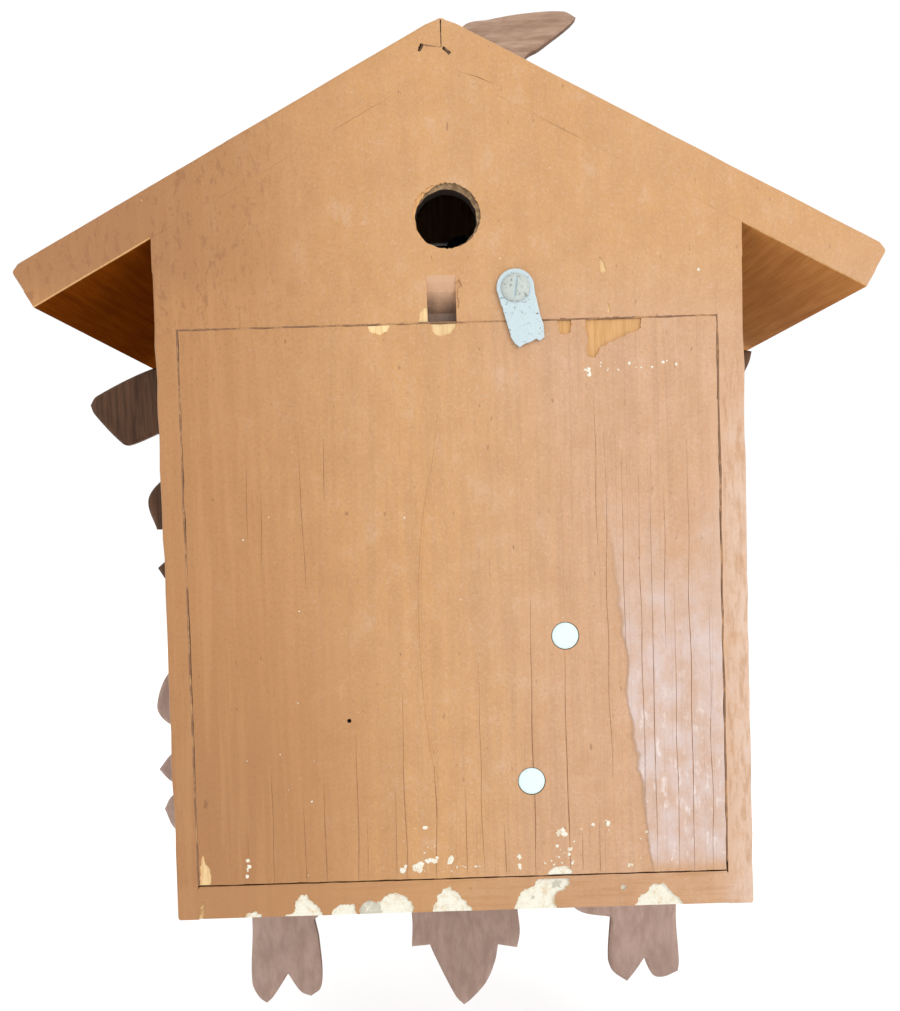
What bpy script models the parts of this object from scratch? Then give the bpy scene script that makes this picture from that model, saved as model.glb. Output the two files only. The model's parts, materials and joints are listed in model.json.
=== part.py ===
"""A small Black Forest cuckoo clock: painted pine case, carved leaves, bird and chain-driven movement.

Everything is placed in clock coordinates, in millimetres: ACROSS runs to the right as seen from the
front, UP starts at the bottom of the case, and DEEP starts at the rear plane and grows towards the dial.
An empty turns these into world axes: the front faces -Y, and the world's origin is the centre of the
hanging hole on the rear plane. The helpers turn millimetres into metres.
"""

import math

import bmesh
import bpy
from mathutils import Vector

MM = 0.001
GAP = 0.3
WELD = 0.01 * MM

# Case
BODY_WIDTH = 134.0
SIDE_THICKNESSES = {"left": 5.8, "right": 4.9}
SIDE_DEPTH = 90.0
BASE_THICKNESS = 7.3
FRONT_THICKNESS = 6.0
GABLE_THICKNESS = 6.0
GABLE_BOTTOM = 136.0
NOTCH_ACROSS = 1.6
NOTCH_HALF_WIDTH = 3.3
NOTCH_PROFILE = [(-1.0, -2.0), (10.5, -2.0), (10.5, 0.0), (2.5, 4.6), (-1.0, 4.8)]
HANG_HEIGHT = 160.0
HANG_HOLE_RADIUS = 6.9
ROOF_APEX = 204.6
ROOF_PITCH = math.radians(28.57)
ROOF_THICKNESS = 10.1
ROOF_HALF_WIDTHS = {"left": 100.0, "right": 98.9}
ROOF_DEPTH = 125.0
CHAIN_HOLES_ACROSS = (-26.0, -13.0, 13.0, 26.0)
CHAIN_HOLE_RADIUS = 3.0
CHAIN_DEEP = 50.5
PENDULUM_SLOT = ((-20.0, 33.0), (20.0, 41.0))
SOUND_HOLE_RADIUS = 6.0
STAPLE_LEGS = {"left": (-1.9, 196.2), "right": (4.4, 196.6)}
STAPLE_WIRE_RADIUS = 0.35

# Back door with its gong
DOOR_BOTTOM = 8.0
DOOR_TOP = 135.6
DOOR_THICKNESS = 5.0
DOOR_SIDE_GAP = 0.4
DOOR_AXIS_DEEP = 1.6
DOOR_AXIS_UP = DOOR_BOTTOM + 1.6
DOOR_NAIL_RADIUS = 0.5
RIVET_HEAD_RADIUS = 3.1
RIVET_SHANK_RADIUS = 1.2
RIVET_HOLE_RADIUS = 1.35
RIVET_LOWER = (-16.0, 30.1)
RIVET_UPPER = (-24.6, 63.6)
GONG_BLOCK_DEEP = (5.3, 14.3)
GONG_CENTRE = (-21.0, 66.0)
GONG_DEEP = 17.0
GONG_WIRE_RADIUS = 0.95
GONG_RADIUS_INNER = 9.0
GONG_RADIUS_OUTER = 32.0
GONG_TURNS = 2.75

# Latch
LATCH_AXIS = (-15.2, 143.1)
LATCH_DEEP = (-1.1, -0.3)
LATCH_TOP_RADIUS = 4.3
LATCH_SCREW_RADIUS = 1.1
LATCH_HOLE_RADIUS = 1.2

# Dial, hands and the carvings in front
DIAL_CENTRE_UP = 75.0
DIAL_RADIUS = 30.0
CARVING_DEEP = 96.6
CARVING_THICKNESS = 8.0
TOP_BIRD_DEEP = (112.0, 120.0)
HAND_HOLE_RADIUS = 3.6

# Cuckoo, its door and its arm
OPENING_ACROSS = (-13.0, 12.5)
OPENING_UP = (146.0, 174.0)
CUCKOO_DOOR_AXIS = (-11.0, 93.4)
BIRD_POST = (30.0, 74.15)
BIRD_REST = (1.5, 59.6)
BIRD_CENTRE_UP = 160.0
ARM_UP = (149.0, 151.6)

# Movement: plates, then the arbors as (across, up)
PLATE_HALF_WIDTH = 37.0
PLATE_UP = (30.0, 126.0)
BACK_PLATE_DEEP = (42.0, 43.3)
FRONT_PLATE_DEEP = (73.5, 74.8)
CENTRE = (0.0, DIAL_CENTRE_UP)
TIME_GREAT = (-19.5, 67.2)
STRIKE_GREAT = (19.5, 67.2)
THIRD = (-8.0, 89.43)
ESCAPE = (0.0, 102.83)
ANCHOR = (0.0, 119.4)
PIN = (22.07, 88.04)
WARNING = (15.04, 99.57)
FLY = (23.54, 106.23)
HAMMER = (12.0, 116.0)
MINUTE = (-12.0, 75.0)
PILLARS = [(-33.0, 34.0), (33.0, 34.0), (-33.0, 122.0), (33.0, 122.0)]
PIVOT_RADIUS = 0.6
PIVOT_HOLE_RADIUS = 0.76
GREAT_PIVOT_RADIUS = 1.2
GREAT_PIVOT_HOLE_RADIUS = 1.4
PIVOT_REAR = 41.2
PIVOT_FRONT = 75.9
SHOULDER_REAR = 43.6
SHOULDER_FRONT = 73.2

# Whistles and bellows, given for the right side and mirrored for the left
WHISTLE_ACROSS = (41.5, 59.4)
WHISTLE_DEEP = (50.0, 70.0)
WHISTLE_WALL = 1.8
WHISTLE_TOP = 102.5
WHISTLE_MOUTH_UP = 82.0
WHISTLE_BOTTOMS = {"left": 34.0, "right": 24.0}
BELLOWS_ACROSS = (40.9, 60.2)
BELLOWS_DEEP = (36.0, 82.0)
BELLOWS_UP = (102.8, 109.7)
LID_UP = (110.0, 112.4)
LID_AXIS_DEEP = 82.0


def roof_line(across, lift=0.0):
    """Height of the roof boards' underside, or of a line parallel to it."""
    underside = ROOF_APEX - ROOF_THICKNESS / math.cos(ROOF_PITCH)
    return underside + lift - abs(across) * math.tan(ROOF_PITCH)


# ---------------------------------------------------------------- scene and materials


def clear_scene():
    for thing in list(bpy.data.objects):
        bpy.data.objects.remove(thing, do_unlink=True)


def new_collection(name):
    made = bpy.data.collections.new(name)
    bpy.context.scene.collection.children.link(made)
    return made


clear_scene()
CLOCK = new_collection("cuckoo_clock")
CUTTERS = new_collection("cutters")
CUTTERS.hide_render = True

FRAME = bpy.data.objects.new("clock_frame", None)
FRAME.location = (0.0, 0.0, -HANG_HEIGHT * MM)
FRAME.rotation_euler = (math.radians(90.0), 0.0, 0.0)
CLOCK.objects.link(FRAME)

COLOURS = {
    "painted_wood": ((0.46, 0.22, 0.08), 0.55, 0.0),
    "roof_wood": ((0.40, 0.19, 0.07), 0.6, 0.0),
    "carved_wood": ((0.13, 0.06, 0.035), 0.6, 0.0),
    "inner_wood": ((0.55, 0.40, 0.24), 0.7, 0.0),
    "dial_wood": ((0.10, 0.05, 0.03), 0.5, 0.0),
    "hand_plastic": ((0.86, 0.82, 0.72), 0.4, 0.0),
    "zinc": ((0.55, 0.60, 0.63), 0.45, 1.0),
    "rivet_paint": ((0.72, 0.86, 0.86), 0.5, 0.0),
    "steel": ((0.45, 0.44, 0.42), 0.35, 1.0),
    "brass": ((0.72, 0.52, 0.22), 0.35, 1.0),
    "gong_iron": ((0.09, 0.09, 0.10), 0.5, 1.0),
    "bird_paint": ((0.20, 0.27, 0.38), 0.4, 0.0),
    "bellows_cloth": ((0.80, 0.74, 0.62), 0.85, 0.0),
}


def make_material(name):
    colour, roughness, metallic = COLOURS[name]
    made = bpy.data.materials.new(name)
    made.use_nodes = True
    shader = made.node_tree.nodes["Principled BSDF"]
    shader.inputs["Base Color"].default_value = (*colour, 1.0)
    shader.inputs["Roughness"].default_value = roughness
    shader.inputs["Metallic"].default_value = metallic
    made.diffuse_color = (*colour, 1.0)
    return made


MATERIALS = {name: make_material(name) for name in COLOURS}

# ---------------------------------------------------------------- shape helpers


def millimetres(*values):
    return Vector([value * MM for value in values])


def place(thing, at=(0.0, 0.0, 0.0), turn=(0.0, 0.0, 0.0)):
    """Puts an object in the clock's frame and collection."""
    thing.parent = FRAME
    thing.location = millimetres(*at)
    thing.rotation_euler = turn
    CLOCK.objects.link(thing)
    bpy.context.view_layer.update()
    return thing


def finish(thing, material, smooth=False):
    thing.data.materials.clear()
    thing.data.materials.append(MATERIALS[material])
    if smooth and thing.type == "MESH":
        thing.data.shade_smooth()
        thing.data.set_sharp_from_angle(angle=math.radians(35.0))
    return thing


def ring(radius, count, centre=(0.0, 0.0), start=0.0):
    """Points of a circle."""
    return [
        (
            centre[0] + radius * math.cos(start + math.tau * step / count),
            centre[1] + radius * math.sin(start + math.tau * step / count),
        )
        for step in range(count)
    ]


def rectangle(low, high):
    return [(low[0], low[1]), (high[0], low[1]), (high[0], high[1]), (low[0], high[1])]


def poly_curve(name, runs, kind, cyclic):
    made = bpy.data.curves.new(name, "CURVE")
    made.dimensions = kind
    for run in runs:
        spline = made.splines.new("POLY")
        spline.points.add(len(run) - 1)
        for point, place_at in zip(spline.points, run):
            values = tuple(place_at) + (0.0,) * (3 - len(place_at))
            point.co = (*millimetres(*values), 1.0)
        spline.use_cyclic_u = cyclic
    return made


def curve_to_mesh(curve_object):
    """Turns a curve object into a mesh object with welded caps, in the same place."""
    graph = bpy.context.evaluated_depsgraph_get()
    mesh = bpy.data.meshes.new_from_object(curve_object.evaluated_get(graph))
    work = bmesh.new()
    work.from_mesh(mesh)
    bmesh.ops.remove_doubles(work, verts=work.verts, dist=WELD)
    bmesh.ops.recalc_face_normals(work, faces=work.faces)
    work.to_mesh(mesh)
    work.free()
    name = curve_object.name
    at = [value / MM for value in curve_object.location]
    turn = tuple(curve_object.rotation_euler)
    bpy.data.objects.remove(curve_object, do_unlink=True)
    made = bpy.data.objects.new(name, mesh)
    mesh.name = name
    return place(made, at, turn)


def plate(name, outlines, near, far, origin=(0.0, 0.0), turn=(0.0, 0.0, 0.0), at=None):
    """A flat shape with holes, cut in the across-up plane and running from near to far in depth."""
    shifted = [[(x - origin[0], y - origin[1]) for x, y in run] for run in outlines]
    data = poly_curve(name, shifted, "2D", True)
    data.fill_mode = "BOTH"
    data.extrude = (far - near) / 2 * MM
    where = at if at else (origin[0], origin[1], (near + far) / 2)
    return curve_to_mesh(place(bpy.data.objects.new(name, data), where, turn))


def lying_plate(name, outlines, low, high, origin=(0.0, 0.0)):
    """A flat shape with holes, cut in the across-deep plane and running from low to high."""
    # A quarter turn about the across axis sends the outline's second axis to depth.
    quarter = (math.radians(90.0), 0.0, 0.0)
    at = (origin[0], (low + high) / 2, origin[1])
    return plate(name, outlines, low, high, origin, quarter, at)


def box(name, low, high, origin=None):
    """A block between two corners, with its origin where asked."""
    work = bmesh.new()
    bmesh.ops.create_cube(work, size=1.0)
    centre = [(a + b) / 2 for a, b in zip(low, high)]
    base = origin if origin else centre
    for vertex in work.verts:
        for axis in range(3):
            span = high[axis] - low[axis]
            vertex.co[axis] = (vertex.co[axis] * span + centre[axis] - base[axis]) * MM
    mesh = bpy.data.meshes.new(name)
    work.to_mesh(mesh)
    work.free()
    return place(bpy.data.objects.new(name, mesh), base)


def turned(name, stations, at, steps=12, turn=(0.0, 0.0, 0.0)):
    """A turned piece about the depth axis: stations are (radius, from, to), rear to front."""
    points = [(0.0, stations[0][1])]
    for radius, start, end in stations:
        points += [(radius, start), (radius, end)]
    points.append((0.0, stations[-1][2]))
    profile = bpy.data.meshes.new(name)
    places = [(radius * MM, 0.0, along * MM) for radius, along in reversed(points)]
    profile.from_pydata(places, [(i, i + 1) for i in range(len(places) - 1)], [])
    made = place(bpy.data.objects.new(name, profile), at, turn)
    screw = made.modifiers.new("Screw", "SCREW")
    screw.steps = steps
    screw.render_steps = steps
    screw.use_merge_vertices = True
    screw.merge_threshold = 0.00001
    screw.use_smooth_shade = True
    return made


def wire(name, points, radius, sides=2, cyclic=False):
    """A bent wire through its points, in clock coordinates."""
    origin = points[0]
    local = [[tuple(p[i] - origin[i] for i in range(3)) for p in points]]
    data = poly_curve(name, local, "3D", cyclic)
    data.bevel_depth = radius * MM
    data.bevel_resolution = sides
    data.use_fill_caps = not cyclic
    return place(bpy.data.objects.new(name, data), origin)


def modify(target, other, operation):
    """Joins or cuts a piece with another, which becomes a hidden helper."""
    change = target.modifiers.new(operation.title(), "BOOLEAN")
    change.operation = operation
    change.solver = "EXACT"
    change.object = other
    other.hide_render = True
    other.display_type = "WIRE"
    CLOCK.objects.unlink(other)
    CUTTERS.objects.link(other)
    return target


def join(target, *others):
    for other in others:
        modify(target, other, "UNION")
    return target


def cut(target, *others):
    for other in others:
        modify(target, other, "DIFFERENCE")
    return target


def pins(name, radius, circle, count, near, far, centre, start):
    """Round pins on a circle, all parallel to the depth axis, as one helper."""
    work = bmesh.new()
    for x, y in ring(circle, count, start=start):
        made = bmesh.ops.create_cone(
            work,
            cap_ends=True,
            segments=5,
            radius1=radius * MM,
            radius2=radius * MM,
            depth=(far - near) * MM,
        )
        bmesh.ops.translate(work, verts=made["verts"], vec=millimetres(x, y, 0.0))
    mesh = bpy.data.meshes.new(name)
    work.to_mesh(mesh)
    work.free()
    return place(bpy.data.objects.new(name, mesh), (*centre, (near + far) / 2))


# ---------------------------------------------------------------- wheels


def toothed(teeth, module, gap_at, dedendum=1.1):
    """Outline of a wheel whose tooth gaps are centred on the direction gap_at."""
    pitch_radius = teeth * module / 2
    pitch = math.tau / teeth
    root = pitch_radius - dedendum * module
    points = []
    for tooth in range(teeth):
        middle = gap_at + (tooth + 0.5) * pitch
        for share, radius in ((-0.27, root), (0.0, pitch_radius + module), (0.27, root)):
            angle = middle + share * pitch
            points.append((radius * math.cos(angle), radius * math.sin(angle)))
    return points


def crossings(inner, outer, spokes, width, start=0.0):
    """The openings between a wheel's spokes."""
    openings = []
    for spoke in range(spokes):
        first = start + math.tau * spoke / spokes
        last = first + math.tau / spokes
        points = []
        for radius, ends in ((inner, (first, last)), (outer, (last, first))):
            margin = math.asin(width / 2 / radius)
            low, high = ends[0], ends[1]
            low += margin if high > low else -margin
            high += -margin if high > low else margin
            for step in range(4):
                angle = low + (high - low) * step / 3
                points.append((radius * math.cos(angle), radius * math.sin(angle)))
        openings.append(points)
    return openings


def direction(start, end):
    return math.atan2(end[1] - start[1], end[0] - start[0])


def moved(points, centre):
    return [(x + centre[0], y + centre[1]) for x, y in points]


def wheel_plate(name, centre, teeth, module, gap_at, near, far, hub):
    rim = teeth * module / 2 - 2.6 * module
    runs = [toothed(teeth, module, gap_at)]
    runs += crossings(hub, rim, 3, 2.0, 0.35)
    return plate(name, [moved(run, centre) for run in runs], near, far, centre)


def lantern(name, centre, circle, count, toward, near, far, pin_radius):
    """The round pins of a lantern pinion, one of them facing the wheel that drives it."""
    return pins(name + "_pins", pin_radius, circle, count, near, far, centre, toward)


# ---------------------------------------------------------------- case


def inner_face(side):
    """How far from the middle a side panel's inner face is."""
    return BODY_WIDTH / 2 - SIDE_THICKNESSES[side]


def build_case():
    outer = BODY_WIDTH / 2
    under = -GAP / math.cos(ROOF_PITCH)
    for side, sign in (("left", -1), ("right", 1)):
        inner = inner_face(side)
        outline = [
            (sign * inner, 0.0),
            (sign * outer, 0.0),
            (sign * outer, roof_line(outer, under)),
            (sign * inner, roof_line(inner, under)),
        ]
        panel = plate("side_panel_" + side, [outline], 0.0, SIDE_DEPTH)
        sound = turned(
            "sound_hole_" + side,
            [(SOUND_HOLE_RADIUS, -20.0, 20.0)],
            (sign * outer, WHISTLE_MOUTH_UP + 2.5, sum(WHISTLE_DEEP) / 2),
            16,
            (0.0, math.radians(90.0), 0.0),
        )
        nail_bore = turned(
            "nail_bore_" + side,
            [(DOOR_NAIL_RADIUS + 0.08, -20.0, 20.0)],
            (sign * outer, DOOR_AXIS_UP, DOOR_AXIS_DEEP),
            8,
            (0.0, math.radians(90.0), 0.0),
        )
        finish(cut(panel, sound, nail_bore), "painted_wood")

    left, right = GAP - inner_face("left"), inner_face("right") - GAP
    holes = [ring(CHAIN_HOLE_RADIUS, 12, (across, CHAIN_DEEP)) for across in CHAIN_HOLES_ACROSS]
    holes.append(rectangle(*PENDULUM_SLOT))
    base = [rectangle((left, 0.0), (right, SIDE_DEPTH))] + holes
    finish(lying_plate("base_board", base, 0.0, BASE_THICKNESS), "painted_wood")

    front = [
        (-outer, 0.0),
        (outer, 0.0),
        (outer, roof_line(outer, under)),
        (0.0, roof_line(0.0, under)),
        (-outer, roof_line(outer, under)),
    ]
    opening = rectangle(
        (OPENING_ACROSS[0], OPENING_UP[0]), (OPENING_ACROSS[1], OPENING_UP[1])
    )
    hand_hole = ring(HAND_HOLE_RADIUS, 16, CENTRE)
    near = SIDE_DEPTH + GAP
    board = plate("front_board", [front, opening, hand_hole], near, near + FRONT_THICKNESS)
    bore = turned(
        "hinge_wire_bore",
        [(0.6, -17.5, 17.5)],
        (CUCKOO_DOOR_AXIS[0], sum(OPENING_UP) / 2, CUCKOO_DOOR_AXIS[1]),
        8,
        (math.radians(90.0), 0.0, 0.0),
    )
    finish(cut(board, bore), "painted_wood")


def build_gable():
    left, right = GAP - inner_face("left"), inner_face("right") - GAP
    under = -GAP / math.cos(ROOF_PITCH)
    outline = [
        (left, GABLE_BOTTOM),
        (right, GABLE_BOTTOM),
        (right, roof_line(right, under)),
        (0.0, roof_line(0.0, under)),
        (left, roof_line(-left, under)),
    ]
    hang_hole = ring(HANG_HOLE_RADIUS, 32, (0.0, HANG_HEIGHT))
    screw_hole = ring(LATCH_HOLE_RADIUS, 10, LATCH_AXIS)
    board = plate("gable_board", [outline, hang_hole, screw_hole], 0.0, GABLE_THICKNESS)
    # The finger notch above the door slopes inwards towards the door's top edge.
    profile = [(GABLE_BOTTOM + up, deep) for up, deep in NOTCH_PROFILE]
    notch = plate(
        "finger_notch",
        [profile],
        -NOTCH_HALF_WIDTH,
        NOTCH_HALF_WIDTH,
        turn=(math.radians(90.0), 0.0, math.radians(90.0)),
        at=(NOTCH_ACROSS, 0.0, 0.0),
    )
    finish(cut(board, notch), "painted_wood")


def build_roof():
    thickness_up = ROOF_THICKNESS / math.cos(ROOF_PITCH)
    fall = math.tan(ROOF_PITCH)
    end_in = ROOF_THICKNESS * math.sin(ROOF_PITCH)
    end_down = ROOF_THICKNESS * math.cos(ROOF_PITCH)
    ridge_x = GAP / 2
    for side, sign in (("left", -1), ("right", 1)):
        half = ROOF_HALF_WIDTHS[side]
        eave_top = ROOF_APEX - half * fall
        outline = [
            (sign * ridge_x, ROOF_APEX - ridge_x * fall),
            (sign * half, eave_top),
            (sign * (half - end_in), eave_top - end_down),
            (sign * ridge_x, ROOF_APEX - thickness_up - ridge_x * fall),
        ]
        board = plate("roof_board_" + side, [outline], 0.0, ROOF_DEPTH)
        # Each staple leg stands in a hole of its own.
        leg = STAPLE_LEGS[side]
        hole = turned("staple_hole_" + side, [(0.8, -1.0, 6.0)], (*leg, 0.0), 8)
        finish(cut(board, hole), "roof_wood")
    left, right = STAPLE_LEGS["left"], STAPLE_LEGS["right"]
    crown = -0.65
    route = [
        (*right, 5.0),
        (*right, crown),
        (right[0] - 1.6, right[1] + 0.2, crown),
        (left[0] + 1.0, left[1] + 1.2, crown),
        (*left, crown),
        (*left, 5.0),
    ]
    finish(wire("ridge_staple", route, STAPLE_WIRE_RADIUS, 1), "steel", True)


# ---------------------------------------------------------------- back door, gong and latch


def build_back_door():
    edges = {side: inner_face(side) - DOOR_SIDE_GAP for side in SIDE_THICKNESSES}
    low = (-edges["left"], DOOR_BOTTOM, 0.0)
    high = (edges["right"], DOOR_TOP, DOOR_THICKNESS)
    door = box("back_door", low, high, (0.0, DOOR_AXIS_UP, DOOR_AXIS_DEEP))
    for name, centre in (("lower", RIVET_LOWER), ("upper", RIVET_UPPER)):
        stations = [(RIVET_HEAD_RADIUS + 0.12, -1.0, 1.1), (RIVET_HOLE_RADIUS, 1.1, 8.0)]
        cut(door, turned("rivet_hole_" + name, stations, (*centre, 0.0), 16))
    for side, sign in (("left", -1), ("right", 1)):
        cut(
            door,
            turned(
                "door_bore_" + side,
                [(DOOR_NAIL_RADIUS + 0.1, -8.0, 8.0)],
                (sign * edges[side], DOOR_AXIS_UP, DOOR_AXIS_DEEP),
                8,
                (0.0, math.radians(90.0), 0.0),
            ),
        )
        nail = turned(
            "door_nail_" + side,
            [(DOOR_NAIL_RADIUS, edges[side] - 6.5, BODY_WIDTH / 2 - 0.1)],
            (0.0, DOOR_AXIS_UP, DOOR_AXIS_DEEP),
            8,
            (0.0, sign * math.radians(90.0), 0.0),
        )
        finish(nail, "steel")
    # A fine bevel on the lower outer edge clears the base board as the door tilts.
    bevel = door.modifiers.new("Bevel", "BEVEL")
    bevel.width = 0.35 * MM
    bevel.segments = 1
    bevel.limit_method = "WEIGHT"
    mark_edge(door, lambda point: point.y < DOOR_BOTTOM * MM + WELD and point.z < WELD)
    door.modifiers.move(len(door.modifiers) - 1, 0)
    finish(door, "painted_wood")


def mark_edge(thing, chosen):
    """Gives the edges whose ends are both chosen, in the clock's frame, a full bevel weight."""
    weights = thing.data.attributes.new("bevel_weight_edge", "FLOAT", "EDGE")
    for edge in thing.data.edges:
        ends = [thing.data.vertices[i].co + thing.location for i in edge.vertices]
        weights.data[edge.index].value = float(all(chosen(end) for end in ends))


def build_gong():
    lower, upper = Vector(RIVET_LOWER), Vector(RIVET_UPPER)
    along = (upper - lower).normalized()
    aside = Vector((-along.y, along.x))
    tail = lower - along * 7.0
    head = upper + along * 7.0
    outline = [
        tuple(tail + aside * 5.0),
        tuple(tail - aside * 5.0),
        tuple(head - aside * 6.5),
        tuple(head + aside * 6.5),
    ]
    holes = [ring(RIVET_HOLE_RADIUS, 10, centre) for centre in (RIVET_LOWER, RIVET_UPPER)]
    near, far = GONG_BLOCK_DEEP
    block = plate("gong_block", [outline] + holes, near, far)
    finish(block, "gong_iron")
    for name, centre in (("lower", RIVET_LOWER), ("upper", RIVET_UPPER)):
        stations = [(RIVET_HEAD_RADIUS, 0.0, 0.8), (RIVET_SHANK_RADIUS, 0.8, far - 1.0)]
        finish(turned("gong_rivet_" + name, stations, (*centre, 0.0), 16), "rivet_paint")

    turns = []
    count = int(GONG_TURNS * 14)
    for step in range(count + 1):
        share = step / count
        angle = math.radians(120.0) + math.tau * GONG_TURNS * share
        radius = GONG_RADIUS_INNER + (GONG_RADIUS_OUTER - GONG_RADIUS_INNER) * share
        turns.append(
            (
                GONG_CENTRE[0] + radius * math.cos(angle),
                GONG_CENTRE[1] + radius * math.sin(angle),
                GONG_DEEP,
            )
        )
    foot = (GONG_CENTRE[0] - 2.6, GONG_CENTRE[1] - 0.5)
    root = [(*foot, far + GAP), (*foot, GONG_DEEP - 0.4), (foot[0] - 1.2, foot[1] + 4.0, GONG_DEEP)]
    coil = wire("gong_coil", root + turns, GONG_WIRE_RADIUS, 1)
    finish(coil, "gong_iron", True)


def build_latch():
    screw = turned(
        "latch_screw",
        [
            (1.9, -2.3, -2.05),
            (2.8, -2.05, -1.75),
            (3.25, -1.75, -1.35),
            (LATCH_SCREW_RADIUS, -1.35, 5.0),
        ],
        (*LATCH_AXIS, 0.0),
        12,
    )
    slot = box("screw_slot", (-0.4, -4.0, -2.6), (0.4, 4.0, -1.8))
    slot.location = millimetres(*LATCH_AXIS, -2.2)
    slot.rotation_euler = (0.0, 0.0, math.radians(55.0))
    finish(cut(screw, slot), "zinc", True)
    # A rounded top round the screw, straight sides and a snapped-off lower end.
    top = [
        (LATCH_TOP_RADIUS * math.cos(angle), LATCH_TOP_RADIUS * math.sin(angle))
        for angle in (math.radians(20.0 + 24.0 * step) for step in range(7))
    ]
    left_side = [(-6.2, -7.8), (-6.3, -11.4)]
    broken_end = [(-0.6, -13.5), (1.3, -11.2)]
    outline = top + left_side + broken_end
    hole = ring(LATCH_HOLE_RADIUS, 12)
    runs = [moved(run, LATCH_AXIS) for run in (outline, hole)]
    latch = plate("door_latch", runs, *LATCH_DEEP, LATCH_AXIS)
    finish(latch, "zinc")


# ---------------------------------------------------------------- carvings

RIGHT_UPPER_LEAF = [
    (33.0, 104.0), (44.0, 118.0), (50.0, 134.0), (64.0, 132.0), (74.0, 143.0), (90.0, 139.9),
    (108.0, 131.8), (109.9, 129.1), (108.8, 126.3), (100.2, 116.8), (97.8, 116.8), (89.6, 120.0),
    (81.0, 110.0), (90.0, 104.5), (93.4, 99.0), (91.0, 90.3), (80.0, 90.0), (86.0, 83.0),
    (91.2, 78.4), (87.0, 71.5), (72.0, 75.0), (60.0, 84.0), (46.0, 88.0), (37.0, 90.0),
]
LEFT_UPPER_LEAF = [
    (-33.0, 104.0), (-44.0, 118.0), (-50.0, 134.0), (-64.0, 132.0), (-74.0, 143.0),
    (-86.0, 141.5), (-94.2, 139.8), (-93.4, 136.6), (-91.4, 132.5), (-87.0, 120.5), (-80.0, 110.0),
    (-87.0, 104.5), (-90.4, 99.0), (-88.5, 90.3), (-79.0, 90.0), (-84.0, 83.0), (-88.4, 78.4),
    (-85.0, 71.5), (-72.0, 75.0), (-60.0, 84.0), (-46.0, 88.0), (-37.0, 90.0),
]
RIGHT_LOWER_LEAF = [
    (35.0, 60.0), (46.0, 58.0), (56.0, 62.0), (70.0, 58.0), (88.0, 47.0), (93.2, 35.5),
    (90.0, 30.0), (79.0, 26.0), (89.0, 20.5), (93.3, 15.5), (89.5, 11.5), (81.0, 8.5),
    (89.5, 7.0), (92.1, 3.0), (89.0, -3.5), (76.0, -12.0), (68.0, -22.0), (66.1, -32.1),
    (66.8, -52.9), (64.8, -57.7), (62.4, -59.7), (60.4, -57.9), (55.4, -50.6), (51.5, -56.5),
    (48.4, -57.9), (45.2, -55.1), (45.4, -40.7), (46.7, -33.6), (38.0, -27.0), (30.0, -22.0),
    (38.0, -6.0), (28.0, 8.0), (27.0, 30.0), (31.0, 46.0),
]
LEFT_LOWER_LEAF = [
    (-35.0, 60.0), (-46.0, 58.0), (-56.0, 62.0), (-70.0, 58.0), (-85.0, 47.0), (-90.0, 35.5),
    (-87.0, 30.0), (-77.0, 26.0), (-86.0, 20.5), (-90.2, 15.5), (-87.0, 11.5), (-79.0, 8.5),
    (-87.0, 7.0), (-89.5, 3.0), (-86.0, -3.5), (-75.0, -12.0), (-69.0, -22.0), (-67.2, -34.3),
    (-67.8, -50.4), (-67.4, -53.5), (-62.7, -55.3), (-59.5, -54.6), (-56.8, -49.1),
    (-53.9, -53.2), (-51.3, -56.3), (-46.9, -53.0), (-45.7, -49.7), (-46.7, -35.7),
    (-36.0, -33.0), (-28.0, -22.0), (-36.0, -6.0), (-26.0, 8.0), (-25.0, 30.0), (-29.0, 46.0),
]
BOTTOM_LEAF = [
    (12.0, 42.0), (20.0, 30.0), (22.0, 14.0), (24.0, -2.0), (18.0, -18.0), (15.9, -33.6),
    (16.2, -43.1), (10.5, -42.7), (9.0, -46.5), (2.8, -59.5), (0.3, -62.2), (-1.9, -60.6),
    (-6.8, -55.3), (-9.8, -48.7), (-10.9, -43.3), (-16.9, -44.4), (-17.9, -39.3),
    (-17.4, -30.0), (-20.0, -16.0), (-22.0, -2.0), (-20.0, 14.0), (-18.0, 30.0), (-12.0, 42.0),
]
TOP_BIRD = [
    (0.0, 205.1), (30.0, 188.7), (40.0, 183.3), (41.0, 190.0), (36.0, 196.0), (38.0, 206.0),
    (30.0, 209.0), (31.0, 216.0), (37.5, 219.0), (45.5, 218.0), (38.0, 224.0), (33.0, 229.0),
    (24.0, 230.5), (16.0, 226.5), (8.0, 227.0), (0.0, 234.0), (-8.7, 246.8), (-16.7, 248.5),
    (-27.8, 250.1), (-40.5, 250.4), (-44.3, 248.4), (-42.0, 246.0), (-32.3, 239.1),
    (-28.5, 237.0), (-19.0, 226.0), (-16.0, 214.0), (-27.0, 210.0), (-38.0, 201.0),
    (-36.0, 193.0), (-41.0, 182.8), (-30.0, 188.7),
]


def build_carvings():
    leaves = {
        "upper_leaf_right": RIGHT_UPPER_LEAF,
        "upper_leaf_left": LEFT_UPPER_LEAF,
        "lower_leaf_right": RIGHT_LOWER_LEAF,
        "lower_leaf_left": LEFT_LOWER_LEAF,
        "bottom_leaf": BOTTOM_LEAF,
    }
    for name, outline in leaves.items():
        leaf = plate(name, [outline], CARVING_DEEP, CARVING_DEEP + CARVING_THICKNESS)
        finish(leaf, "carved_wood")
    finish(plate("top_bird", [TOP_BIRD], *TOP_BIRD_DEEP), "carved_wood")


# ---------------------------------------------------------------- dial and hands


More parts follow.
